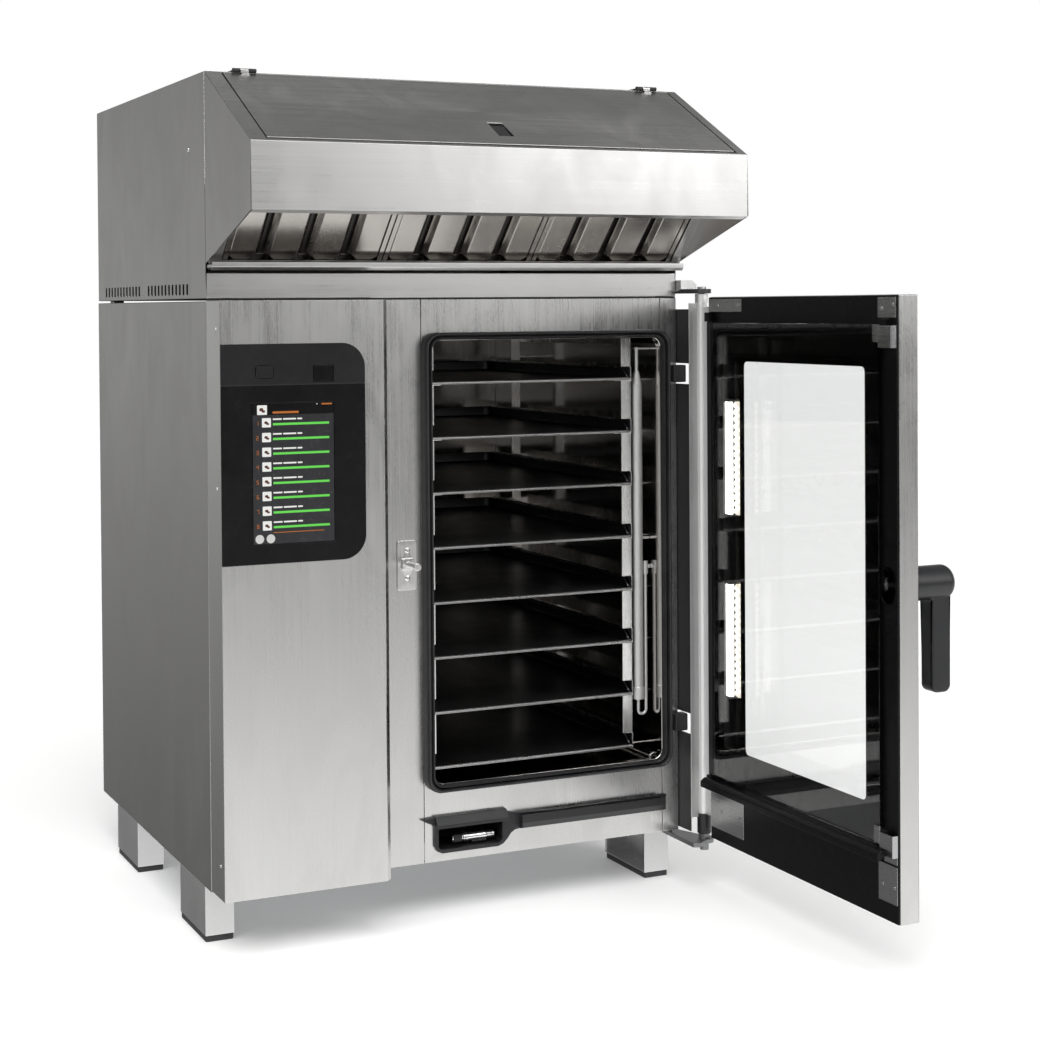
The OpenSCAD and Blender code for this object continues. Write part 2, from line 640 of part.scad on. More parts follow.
module hood_canopy() color("#c6c6c8") {
  for (x = [0, body_w - sheet]) along_x(x, x + sheet)
    polygon([[73.9, 1116], [-fascia_y + 0.2, fascia_z0], [-fascia_y + 0.2, fascia_z1 - 0.2], [73.9, hood_z1 - 0.2]]);
  bx(0, body_w, -fascia_y, -fascia_y + 1.5, fascia_z0, fascia_z1);
  along_x(1, body_w - 1) polygon([[-fascia_y + 1, fascia_z0], [-fascia_y + 14, fascia_z0 - 4.3], [-fascia_y + 14, fascia_z0 - 2.8], [-fascia_y + 1, fascia_z0 + 1.6]]);
  on_slope() difference() {
    bx(0, body_w, -slope_l, -0.5, -1.5, 0);
    bx(27.5, 858.5, -268, -3, -3, 1);
  }
  // ledge the flap closes on
  on_slope() { bx(20, 40, -266, -6, -17.5, -16); bx(846, 866, -266, -6, -17.5, -16); bx(20, 866, -267, -250, -17.5, -16); }
  // channel that takes the filters' upper ends, and its two dividers
  on_filter() {
    difference() {
      union() {
        bx(33, 853, -262, -260.5, -2.5, 22.5);
        bx(33, 853, -261, -232, 21, 22.5);
      }
      bx(424, 467, -264, -246, 0, 24);
    }
    bx(20, 855, -261, -232, -2.5, -1);
    for (x = [1.4, 854]) bx(x, x + 19.6, -240, -4, -2.5, -1);
    bx(1.4, 873.6, -6, 1.8, -2.5, -1);
    bx(1.4, 873.6, 0.3, 1.8, -2.5, 14);
  }
}
module hood_flap() color("#bfbfc1") on_slope() difference() {
  union() {
    bx(30, 856, -261.5, -4, -1.5, 0);
    bx(30, 856, -261.5, -260, -15, -1);
    for (x = [30, 854.5]) bx(x, x + 1.5, -261.5, -10, -15, -1);
    // knuckles
    for (x = [60, 807]) { xcyl(3.4, x, x + 14, -1.5, flap_t); bx(x, x + 14, -12, -3.6, -1, 3); bx(x, x + 14, -6, -2, 0.6, 5); }
    // pocket of the latch
    bx(430, 461, -230, -173, -13, -1);
  }
  bx(432, 459, -228, -175, -11.5, 1);
  xcyl(1.56, 429, 462, -184, -5);
  for (x = [60, 807]) xcyl(1.66, x - 1, x + 15, -1.5, flap_t);
}
module flap_hinges() color("#1c1d1f") on_slope() for (x = [47, 794]) {
  xcyl(3.4, x, x + 12.6, -1.5, flap_t);
  xcyl(3.4, x + 27.4, x + 40, -1.5, flap_t);
  xcyl(1.6, x + 1, x + 39, -1.5, flap_t);
  for (d = [0, 27.4]) rotate([-slope_a, 0, 0]) along_x(x + d, x + d + 12.6)
    polygon([[-1.5, 0.6], [0.9, 0.6], [0.9, 0], [24, 0], [24, 3.2], [-1.5, 3.2]]);
}
module flap_latch() color("#141416") on_slope() {
  bx(434, 457, -225.5, -185, -6.6, -2.4);
  xcyl(3, 434, 457, -184, -5);
  xcyl(1.5, 430.2, 460.8, -184, -5);
  bx(437, 454, -225.5, -219, -4, -0.8);
}
module grease_filter(i) color("#8a8480") on_filter() {
  x0 = 23.5 + 277 * i;
  difference() {
    bx(x0, x0 + 275, -240, 0, 0, 20);
    bx(x0 + 2, x0 + 273, -238, -2, 1.5, 18.5);
    for (k = [0:2]) bx(x0 + 54 + 72.5 * k, x0 + 76 + 72.5 * k, -226, -12, -1, 3);
    for (k = [0:3]) bx(x0 + 22 + 68 * k, x0 + 40 + 68 * k, -226, -12, 17, 21);
  }
}
module grease_filter_1() grease_filter(0);
module grease_filter_2() grease_filter(1);
module grease_filter_3() grease_filter(2);
module hood_gutter() color("#d2d2d4") {
  along_x(1.5, body_w - 1.5) polygon([[88, 1108], [75, 1108], [48, 1105], [43, 1110], [43, 1118], [44.5, 1118], [44.5, 1110.6], [48.6, 1106.5], [75, 1109.5], [88, 1109.5]]);
  for (x = [1.5, body_w - 3]) bx(x, x + 1.5, 44, 88, 1109, 1114);
}
module hood_blower() color("#8d9093") {
  zcyl(50, 1150, 1234, 437.5, 450);
  zcyl(6, 1233.5, 1318, 437.5, 450);
  difference() { zcyl(130, 1234, 1423, 437.5, 450); zcyl(128, 1236, 1430, 437.5, 450); zcyl(95, 1230, 1240, 437.5, 450); }
  difference() { zcyl(130, 1421.5, 1423, 437.5, 450); zcyl(exhaust_r + 2, 1420, 1425, 437.5, 450); }
  for (a = [0, 120, 240]) translate([437.5, 450, 0]) rotate([0, 0, a]) bx(45, 128, -7, 7, 1230, 1234.2);
  difference() {
    bx(1.5, 873.5, 440, 460, 1140, 1150);
    bx(3, 872, 430, 470, 1138, 1148.5);
  }
  for (x = [1.5, 871.5]) bx(x, x + 2, 430, 470, 1120, 1160);
}

module hood_impeller() color("#9da0a4") translate([437.5, 450, 0]) difference() {
  union() {
    translate([0, 0, 1250]) cylinder(r = 16, h = 50);
    translate([0, 0, 1296]) cylinder(r = 108, h = 2);
    difference() {
      translate([0, 0, 1246]) cylinder(r = 108, h = 2);
      translate([0, 0, 1240]) cylinder(r = 80, h = 20);
    }
    for (a = [0:24:336]) rotate([0, 0, a]) translate([84, -1, 1247]) cube([23, 2, 50]);
  }
  translate([0, 0, 1240]) cylinder(r = 6.05, h = 70);
}

placed() base_frame();
placed() appliance_feet();
placed() foot_pads();
placed() left_side_panel();
placed() right_side_panel();
placed() rear_panel();
placed() front_frame();
placed() control_cover();
placed() control_bezel();
placed() touch_screen();
placed() electronics_box();
placed() power_button();
placed() usb_flap();
placed() cavity_liner();
placed() cavity_gasket();
placed() cavity_insulation();
placed() strike_plate();
placed() suction_panel();
placed() fan_motor();
placed() fan_wheel();
placed() heating_element();
placed() left_rack();
placed() right_rack();
placed() core_probe();
placed() tray_1();
placed() tray_2();
placed() tray_3();
placed() tray_4();
placed() tray_5();
placed() tray_6();
placed() tray_7();
placed() tray_8();
placed() shower_recess();
placed() hand_shower();
placed() bumper_blocks();
placed() hinge_brackets();
placed() cavity_pipes();
placed() water_inlets();
placed() panel_screws();
placed() hinge_profile();
placed() door_shell();
placed() outer_glass();
placed() door_inner_frame();
placed() latch_case();
placed() door_lights();
placed() inner_glass();
placed() pane_hinge_bar();
placed() door_handle();
placed() latch_hook();
placed() hood_body();
placed() hood_canopy();
placed() hood_flap();
placed() flap_hinges();
placed() flap_latch();
placed() grease_filter_1();
placed() grease_filter_2();
placed() grease_filter_3();
placed() hood_gutter();
placed() hood_blower();
placed() hood_impeller();
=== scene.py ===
import json
import math
import random

import bmesh
import bpy
from mathutils import Matrix, Vector


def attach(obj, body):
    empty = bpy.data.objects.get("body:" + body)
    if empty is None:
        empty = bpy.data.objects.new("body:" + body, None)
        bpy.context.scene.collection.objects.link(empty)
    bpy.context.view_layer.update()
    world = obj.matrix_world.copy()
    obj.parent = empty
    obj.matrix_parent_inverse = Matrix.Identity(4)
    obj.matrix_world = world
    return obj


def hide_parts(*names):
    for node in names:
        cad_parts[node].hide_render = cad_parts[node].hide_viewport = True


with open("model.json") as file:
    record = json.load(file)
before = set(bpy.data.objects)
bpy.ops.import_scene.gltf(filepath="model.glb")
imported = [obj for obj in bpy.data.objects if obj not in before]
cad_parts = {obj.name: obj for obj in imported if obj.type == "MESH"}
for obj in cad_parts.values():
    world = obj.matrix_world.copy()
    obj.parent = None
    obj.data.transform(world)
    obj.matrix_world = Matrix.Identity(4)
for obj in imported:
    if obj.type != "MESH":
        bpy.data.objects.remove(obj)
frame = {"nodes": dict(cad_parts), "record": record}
bpy.context.view_layer.update()
NODES = frame["nodes"]
BODY_OF = {}
for _j in (frame["record"].get("behaviour") or {}).get("bodies", {}).items():
    for _n in _j[1]:
        BODY_OF[_n] = _j[0]

# Everything below is in millimetres from the casing's left, front, floor corner.
OX, OY = -437.5, -405.5


def V(x, y, z):
    return Vector(((x + OX) / 1000.0, (y + OY) / 1000.0, z / 1000.0))


# --------------------------------------------------------------------------
# materials
# --------------------------------------------------------------------------
class Mat:
    def __init__(self, name):
        self.m = bpy.data.materials.new(name)
        self.m.use_nodes = True
        self.nt = self.m.node_tree
        self.nt.nodes.clear()
        self.out = self.nt.nodes.new("ShaderNodeOutputMaterial")
        self.b = self.nt.nodes.new("ShaderNodeBsdfPrincipled")
        self.nt.links.new(self.b.outputs[0], self.out.inputs[0])
        self._co = None

    def set(self, **k):
        names = {"color": "Base Color", "metal": "Metallic", "rough": "Roughness", "ior": "IOR", "spec": "Specular IOR Level",
                 "trans": "Transmission Weight", "coat": "Coat Weight", "coat_rough": "Coat Roughness", "aniso": "Anisotropic",
                 "sheen": "Sheen Weight", "emit": "Emission Color", "power": "Emission Strength", "alpha": "Alpha", "sss": "Subsurface Weight"}
        for key, val in k.items():
            s = self.b.inputs[names[key]]
            if key in ("color", "emit"):
                val = tuple(val) + (1.0,) if len(val) == 3 else val
            s.default_value = val
        return self

    def node(self, kind, **props):
        n = self.nt.nodes.new(kind)
        for k, v in props.items():
            setattr(n, k, v)
        return n

    def link(self, a, b):
        self.nt.links.new(a, b)

    def coords(self, scale=(1, 1, 1), rot=(0, 0, 0), loc=(0, 0, 0)):
        if self._co is None:
            self._co = self.node("ShaderNodeTexCoord")
        mp = self.node("ShaderNodeMapping")
        mp.inputs["Scale"].default_value = scale
        mp.inputs["Rotation"].default_value = rot
        mp.inputs["Location"].default_value = loc
        self.link(self._co.outputs["Object"], mp.inputs["Vector"])
        return mp.outputs["Vector"]

    def noise(self, vec, scale=1.0, detail=3.0, rough=0.55, dist=0.0):
        n = self.node("ShaderNodeTexNoise")
        n.inputs["Scale"].default_value = scale
        n.inputs["Detail"].default_value = detail
        n.inputs["Roughness"].default_value = rough
        n.inputs["Distortion"].default_value = dist
        self.link(vec, n.inputs["Vector"])
        return n.outputs["Fac"]

    def voronoi(self, vec, scale=1.0, feature="F1", out="Distance"):
        n = self.node("ShaderNodeTexVoronoi", feature=feature)
        n.inputs["Scale"].default_value = scale
        self.link(vec, n.inputs["Vector"])
        return n.outputs[out]

    def span(self, val, a, b, c, d):
        n = self.node("ShaderNodeMapRange")
        for i, x in enumerate((a, b, c, d)):
            n.inputs[1 + i].default_value = x
        self.link(val, n.inputs[0])
        return n.outputs[0]

    def ramp(self, val, stops):
        n = self.node("ShaderNodeValToRGB")
        els = n.color_ramp.elements
        while len(els) < len(stops):
            els.new(0.5)
        for e, (p, c) in zip(els, stops):
            e.position = p
            e.color = tuple(c) + (1.0,) if len(c) == 3 else c
        self.link(val, n.inputs[0])
        return n.outputs[0]

    def mix(self, fac, a, b, kind="MIX"):
        n = self.node("ShaderNodeMix", data_type="RGBA", blend_type=kind)
        for sock, val in ((n.inputs[0], fac), (n.inputs[6], a), (n.inputs[7], b)):
            if hasattr(val, "links"):
                self.link(val, sock)
            else:
                if sock.type == "RGBA" and len(val) == 3:
                    val = tuple(val) + (1.0,)
                sock.default_value = val
        return n.outputs[2]

    def math(self, op, a, b=0.5):
        n = self.node("ShaderNodeMath", operation=op)
        for sock, val in ((n.inputs[0], a), (n.inputs[1], b)):
            if hasattr(val, "links"):
                self.link(val, sock)
            else:
                sock.default_value = val
        return n.outputs[0]

    def bump(self, height, strength=0.2, distance=0.0005, normal=None):
        n = self.node("ShaderNodeBump")
        n.inputs["Strength"].default_value = strength
        n.inputs["Distance"].default_value = distance
        self.link(height, n.inputs["Height"])
        if normal is not None:
            self.link(normal, n.inputs["Normal"])
        return n.outputs[0]

    def to(self, name, val):
        self.link(val, self.b.inputs[name])
        return self


def steel(name, col, rough, along="z", tone=0.05, blotch=0.05, grain=0.10, aniso=0.0, fine=900.0, wavy=0.0):
    """Brushed or ground sheet: fine lines along one axis, slow changes of tone, a few handling marks."""
    m = Mat(name).set(metal=1.0, aniso=aniso)
    sc = {"x": (7.0, fine, fine), "y": (fine, 7.0, fine), "z": (fine, fine, 7.0), "o": (fine, fine, fine)}[along]
    lines = m.noise(m.coords(sc), 1.0, 4.0, 0.6)
    sc2 = tuple(s * 0.33 for s in sc)
    lines2 = m.noise(m.coords(sc2, loc=(3.1, 1.7, 0.4)), 1.0, 2.0, 0.5)
    slow = m.noise(m.coords((2.2, 2.2, 1.3)), 1.0, 3.0, 0.55, 0.6)
    smear = m.noise(m.coords((9.0, 9.0, 4.0), loc=(1.0, 4.0, 2.0)), 1.0, 5.0, 0.62, 1.1)
    both = m.math("ADD", m.math("MULTIPLY", lines, 0.6), m.math("MULTIPLY", lines2, 0.4))
    lowc = [c * (1 - tone) for c in col]
    higc = [min(1, c * (1 + tone)) for c in col]
    c1 = m.ramp(both, [(0.3, lowc), (0.7, higc)])
    c2 = m.mix(m.span(slow, 0.35, 0.68, 0.0, 1.0), c1, m.mix(1.0, c1, (1 - blotch, 1 - blotch, 1 - blotch * 0.9), "MULTIPLY"))
    m.to("Base Color", c2)
    r1 = m.span(both, 0.3, 0.7, rough - 0.05, rough + 0.05)
    r2 = m.span(smear, 0.42, 0.72, 0.0, 0.09)
    m.to("Roughness", m.math("ADD", r1, r2))
    nrm = m.bump(both, grain, 0.0002)
    if wavy:
        nrm = m.bump(m.noise(m.coords((5.0, 5.0, 5.0), loc=(9, 2, 7)), 1.0, 1.0, 0.4), wavy, 0.004, nrm)
    m.to("Normal", nrm)
    return m.m


def plastic(name, col, rough=0.42, grain=0.22, scale=1400.0, coat=0.0, tone=0.18, spec=0.5):
    m = Mat(name).set(metal=0.0, coat=coat, coat_rough=0.12, spec=spec)
    g = m.noise(m.coords((scale,) * 3), 1.0, 2.0, 0.5)
    s = m.noise(m.coords((6.0,) * 3), 1.0, 4.0, 0.6, 0.4)
    dust = m.noise(m.coords((55.0,) * 3, loc=(4, 8, 1)), 1.0, 6.0, 0.7)
    a = [c * (1 - tone) for c in col]
    b = [min(1, c * (1 + tone)) for c in col]
    m.to("Base Color", m.mix(m.span(dust, 0.55, 0.85, 0.0, 0.25), m.ramp(s, [(0.3, a), (0.7, b)]), [min(1, c * 1.8 + 0.01) for c in col]))
    m.to("Roughness", m.math("ADD", m.span(g, 0.3, 0.7, rough - 0.05, rough + 0.05), m.span(dust, 0.5, 0.8, 0.0, 0.07)))
    if grain:
        m.to("Normal", m.bump(g, grain, 0.0003))
    return m.m


def gloss(name, col, rough=0.06, smear=0.05, coat=0.4, ior=1.5, spec=0.5):
    m = Mat(name).set(metal=0.0, coat=coat, coat_rough=0.03, ior=ior, spec=spec)
    s = m.noise(m.coords((7.0, 7.0, 7.0)), 1.0, 5.0, 0.6, 1.5)
    f = m.noise(m.coords((90.0, 90.0, 90.0)), 1.0, 5.0, 0.7)
    m.to("Base Color", m.ramp(m.math("MULTIPLY", s, f), [(0.15, col), (0.5, [min(1, c * 1.5 + 0.002) for c in col])]))
    m.to("Roughness", m.math("ADD", m.span(s, 0.4, 0.75, rough, rough + smear), m.span(f, 0.55, 0.8, 0.0, 0.04)))
    return m.m


def rubber(name, col=(0.012, 0.012, 0.013), rough=0.5):
    m = Mat(name).set(metal=0.0, spec=0.5, sheen=0.05)
    g = m.noise(m.coords((700.0,) * 3), 1.0, 3.0, 0.6)
    s = m.noise(m.coords((14.0,) * 3), 1.0, 4.0, 0.6, 0.8)
    m.to("Base Color", m.ramp(s, [(0.3, [c * 0.7 for c in col]), (0.75, [c * 1.7 for c in col])]))
    m.to("Roughness", m.math("ADD", m.span(s, 0.3, 0.7, rough - 0.08, rough + 0.1), m.span(g, 0.3, 0.7, -0.04, 0.04)))
    m.to("Normal", m.bump(g, 0.15, 0.0003))
    return m.m


def galvanised(name, col=(0.5, 0.51, 0.53)):
    m = Mat(name).set(metal=1.0)
    cell = m.voronoi(m.coords((70.0,) * 3), 1.0, "F1", "Color")
    fine = m.noise(m.coords((240.0,) * 3), 1.0, 4.0, 0.6)
    bw = m.node("ShaderNodeRGBToBW")
    m.link(cell, bw.inputs[0])
    m.to("Base Color", m.ramp(bw.outputs[0], [(0.2, [c * 0.82 for c in col]), (0.8, [min(1, c * 1.12) for c in col])]))
    m.to("Roughness", m.math("ADD", m.span(bw.outputs[0], 0.1, 0.9, 0.34, 0.52), m.span(fine, 0.3, 0.7, -0.04, 0.06)))
    m.to("Normal", m.bump(bw.outputs[0], 0.12, 0.0002))
    return m.m


def lamp(name, col, power, base=(0.95, 0.95, 0.93), spec=0.5):
    m = Mat(name).set(color=base, rough=0.35, emit=col, power=power, spec=spec)
    s = m.noise(m.coords((30.0, 30.0, 4.0)), 1.0, 2.0, 0.5)
    m.to("Base Color", m.ramp(s, [(0.3, [c * 0.86 for c in base]), (0.7, base)]))
    return m.m


def glass(name, col=(0.99, 0.996, 0.993), rough=0.0, ior=1.45):
    m = Mat(name).set(color=col, trans=1.0, ior=ior, spec=0.5)
    s = m.noise(m.coords((5.0, 5.0, 5.0)), 1.0, 5.0, 0.62, 1.2)
    m.to("Roughness", m.span(s, 0.45, 0.85, rough, rough + 0.05))
    return m.m


M = {
    "front": steel("steel_front", (0.60, 0.595, 0.585), 0.26, "z", 0.035, 0.05, 0.05, aniso=0.35),
    "front_x": steel("steel_front_x", (0.60, 0.595, 0.585), 0.30, "x", 0.05, 0.07, 0.14, aniso=0.35),
    # painted shade: the casing sides use the front steel made darker (0.46 against 0.60), standing in for the shade the
    # sides stand in
    "side": steel("steel_side_painted_shade", (0.46, 0.455, 0.445), 0.33, "z", 0.05, 0.08, 0.14, aniso=0.35),
    # painted shade: the hood's side faces use the same darker copy of the casing steel, brushed along y
    "hood_side": steel("steel_hood_side_painted_shade", (0.46, 0.455, 0.445), 0.33, "y", 0.05, 0.08, 0.14, aniso=0.35),
    # painted shade: the upward slope uses the front steel made slightly darker (0.54 against 0.60)
    "slope": steel("steel_slope_painted_shade", (0.54, 0.535, 0.525), 0.28, "x", 0.05, 0.06, 0.14, aniso=0.35),
    "bright": steel("steel_bright", (0.72, 0.71, 0.70), 0.22, "z", 0.04, 0.04, 0.10),
    "polish": steel("steel_polished", (0.66, 0.64, 0.61), 0.09, "z", 0.04, 0.07, 0.04, wavy=0.12),
    "polish_y": steel("steel_polished_y", (0.66, 0.64, 0.61), 0.10, "y", 0.04, 0.07, 0.04, wavy=0.12),
    "rack": steel("steel_rack", (0.84, 0.83, 0.81), 0.22, "z", 0.05, 0.06, 0.05),
    "filter": steel("steel_filter", (0.50, 0.475, 0.44), 0.20, "y", 0.06, 0.16, 0.06, wavy=0.08),
    "matt": steel("steel_blasted", (0.66, 0.66, 0.655), 0.42, "o", 0.05, 0.05, 0.18, fine=600.0),
    "cast": steel("cast_plated", (0.27, 0.272, 0.275), 0.42, "o", 0.10, 0.12, 0.35, fine=260.0),
    "cast_dark": steel("cast_blackened", (0.085, 0.085, 0.087), 0.42, "o", 0.12, 0.15, 0.35, fine=260.0),
    # painted highlight: a near-white copy of the matt steel for the rounded hinge column, standing in for the bright
    # streak that light lays along it
    "profile": steel("profile_painted_highlight", (0.90, 0.90, 0.895), 0.46, "z", 0.03, 0.03, 0.10),
    "chrome": steel("chrome", (0.80, 0.80, 0.80), 0.10, "x", 0.02, 0.03, 0.03),
    "heater": steel("heater_sheath", (0.26, 0.235, 0.21), 0.42, "o", 0.15, 0.25, 0.25, fine=300.0),
    "fan": steel("fan_sheet", (0.58, 0.585, 0.59), 0.30, "o", 0.06, 0.08, 0.1),
    "tray": steel("tray_coating", (0.135, 0.135, 0.14), 0.34, "y", 0.10, 0.20, 0.12, fine=500.0),
    "tray_edge": steel("tray_edge", (0.34, 0.335, 0.33), 0.26, "x", 0.06, 0.10, 0.08),
    "brass": steel("brass", (0.66, 0.47, 0.20), 0.24, "o", 0.06, 0.10, 0.06, fine=300.0),
    "galv": galvanised("galvanised"),
    "black_gloss": gloss("control_glass", (0.0035, 0.0035, 0.004), 0.22, 0.05, 0.0, spec=0.22),
    "bezel_top": gloss("control_glass_top", (0.008, 0.008, 0.0087), 0.30, 0.05, 0.0, spec=0.28),
    "screen": gloss("display_glass", (0.003, 0.003, 0.0035), 0.12, 0.04, 0.0),
    "print": gloss("glass_print", (0.002, 0.002, 0.0022), 0.11, 0.05, 0.0, spec=0.18),
    "frame": plastic("frame_plastic", (0.0035, 0.0035, 0.004), 0.30, 0.10, spec=0.18),
    "rib": lamp("lamp_rib", (1.0, 0.90, 0.72), 0.75),
    "reflector": steel("reflector_sheet", (0.70, 0.66, 0.56), 0.16, "z", 0.03, 0.03, 0.03),
    "corner": steel("corner_sheet", (0.46, 0.46, 0.46), 0.24, "y", 0.05, 0.06, 0.06),
    # painted shade: near-black copy of the filter steel for the rear baffles, dark where they sit in the filter's shade
    "filter_back_painted_shade": steel("filter_back_painted_shade", (0.10, 0.095, 0.09), 0.45, "y", 0.10, 0.2, 0.06),
    "ui_page": gloss("display_page", (0.014, 0.014, 0.016), 0.25, 0.03, 0.0),
    "ui_dark": gloss("display_dark", (0.06, 0.014, 0.007), 0.25, 0.03, 0.0),
    "ui_key": lamp("display_key", (0.62, 0.62, 0.60), 0.9, (0.05, 0.05, 0.05), 0.1),
    "black": plastic("black_plastic", (0.013, 0.013, 0.0143), 0.40, 0.18, spec=0.42),
    "black_soft": plastic("dark_plastic", (0.014, 0.0144, 0.0155), 0.34, 0.12, 1100.0, coat=0.06, spec=0.38),
    "black_dark": plastic("black_deep", (0.010, 0.010, 0.011), 0.55, 0.2),
    "grey_plastic": plastic("grey_plastic", (0.10, 0.10, 0.105), 0.45, 0.15),
    "rubber": rubber("seal_rubber"),
    "pad": rubber("pad_rubber", (0.02, 0.02, 0.021), 0.62),
    "motor": plastic("motor_paint", (0.09, 0.10, 0.115), 0.38, 0.1, 500.0),
    "board": plastic("circuit_board", (0.02, 0.11, 0.05), 0.4, 0.1),
    "wool": plastic("mineral_wool", (0.55, 0.47, 0.26), 0.9, 0.9, 160.0, tone=0.3),
    "glass": glass("clear_glass"),
    "lamp": lamp("lamp_cover", (1.0, 0.985, 0.93), 5.0),
    "ui_white": lamp("ui_white", (0.95, 0.95, 0.92), 0.80, (0.05, 0.05, 0.05), 0.1),
    "ui_green": lamp("ui_green", (0.16, 0.74, 0.10), 0.86, (0.01, 0.05, 0.012), 0.1),
    "ui_orange": lamp("ui_orange", (1.0, 0.30, 0.07), 0.42, (0.05, 0.02, 0.005), 0.1),
    "ui_grey": lamp("ui_grey", (0.35, 0.35, 0.36), 0.5),
    "silicone": rubber("lead_silicone", (0.42, 0.41, 0.39), 0.4),
}


# --------------------------------------------------------------------------
# meshes
# --------------------------------------------------------------------------
def face_regions(bm, tol=0.012):
    """Faces joined into flat patches, however they are cut up."""
    region, n = {}, 0
    for f in bm.faces:
        if f in region:
            continue
        stack, region[f] = [f], n
        while stack:
            g = stack.pop()
            for e in g.edges:
                for h in e.link_faces:
                    if h not in region and g.normal.angle(h.normal, 9) < tol:
                        region[h] = n
                        stack.append(h)
        n += 1
    verts = [set() for _ in range(n)]
    for f, r in region.items():
        verts[r].update(v.co.copy().freeze() for v in f.verts)
    return region, verts


def weigh(bm, big, share=0.28, sharp=0.5, only=None):
    """Bevel weights: a share of the narrower flat patch beside each sharp edge, at most big (metres)."""
    region, verts = face_regions(bm)
    lay = bm.edges.layers.float.get("bevel_weight_edge") or bm.edges.layers.float.new("bevel_weight_edge")
    cache = {}
    for e in bm.edges:
        if len(e.link_faces) != 2:
            continue
        if e.calc_face_angle(0.0) < sharp:
            continue
        if only is not None and not only(e):
            continue
        a, b = e.verts[0].co, e.verts[1].co
        d = (b - a)
        if d.length < 1e-7:
            continue
        d.normalize()
        width = 1e9
        for f in e.link_faces:
            r = region[f]
            key = (r, round(a.x, 5), round(a.y, 5), round(a.z, 5), round(d.x, 3), round(d.y, 3), round(d.z, 3))
            if key not in cache:
                cache[key] = max(((p - a) - (p - a).dot(d) * d).length for p in verts[r])
            width = min(width, cache[key])
        e[lay] = min(big, width * share) / big


def add_mods(ob, big, seg=3, profile=0.5, clamp=False, miter="MITER_SHARP"):
    if big > 0:
        mod = ob.modifiers.new("edges", "BEVEL")
        mod.width = big
        mod.segments = seg
        mod.limit_method = "WEIGHT"
        mod.use_clamp_overlap = clamp
        mod.profile = profile
        mod.miter_outer = miter
        mod.loop_slide = False
    wn = ob.modifiers.new("normals", "WEIGHTED_NORMAL")
    wn.keep_sharp = True
    wn.weight = 60


def mark_sharp(bm, angle):
    for f in bm.faces:
        f.smooth = True
    for e in bm.edges:
        if len(e.link_faces) == 2 and e.calc_face_angle(0.0) > angle:
            e.smooth = False


def refined(node, mat, big=1.0, seg=2, share=0.28, name=None, keep=None, sharp=0.5, miter="MITER_SHARP"):
    """A CAD node with its edges broken, shown in its place."""
    src = NODES[node]
    me = src.data.copy()
    me.materials.clear()
    bm = bmesh.new()
    bm.from_mesh(me)
    bmesh.ops.remove_doubles(bm, verts=bm.verts, dist=2e-6)
    if keep is not None:
        gone = [f for f in bm.faces if not keep(f.calc_center_median())]
        bmesh.ops.delete(bm, geom=gone, context="FACES")
    bmesh.ops.dissolve_limit(bm, angle_limit=0.01, verts=bm.verts, edges=bm.edges)
    bmesh.ops.triangulate(bm, faces=[f for f in bm.faces if len(f.verts) > 4])
    for lay in list(bm.loops.layers.uv.values()):
        bm.loops.layers.uv.remove(lay)
    mark_sharp(bm, 0.9 if big <= 0 else 1.2)
    if big > 0:
        for e in bm.edges:
            e.smooth = True
        weigh(bm, big / 1000.0, share, sharp)
    bm.to_mesh(me)
    bm.free()
    ob = bpy.data.objects.new(name or node + "_v", me)
    bpy.context.scene.collection.objects.link(ob)
    me.materials.append(mat)
    add_mods(ob, big / 1000.0, seg, miter=miter)
    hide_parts(node)
    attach(ob, BODY_OF[node])
    return ob


def paint(ob, mat, test):
    """Second material on the faces whose centre and normal pass the test (millimetres, local corner)."""
    me = ob.data
    idx = me.materials.find(mat.name)
    if idx < 0:
        me.materials.append(mat)
        idx = len(me.materials) - 1
    for p in me.polygons:
        c = p.center
        if test(c.x * 1000 - OX, c.y * 1000 - OY, c.z * 1000, p.normal):
            p.material_index = idx


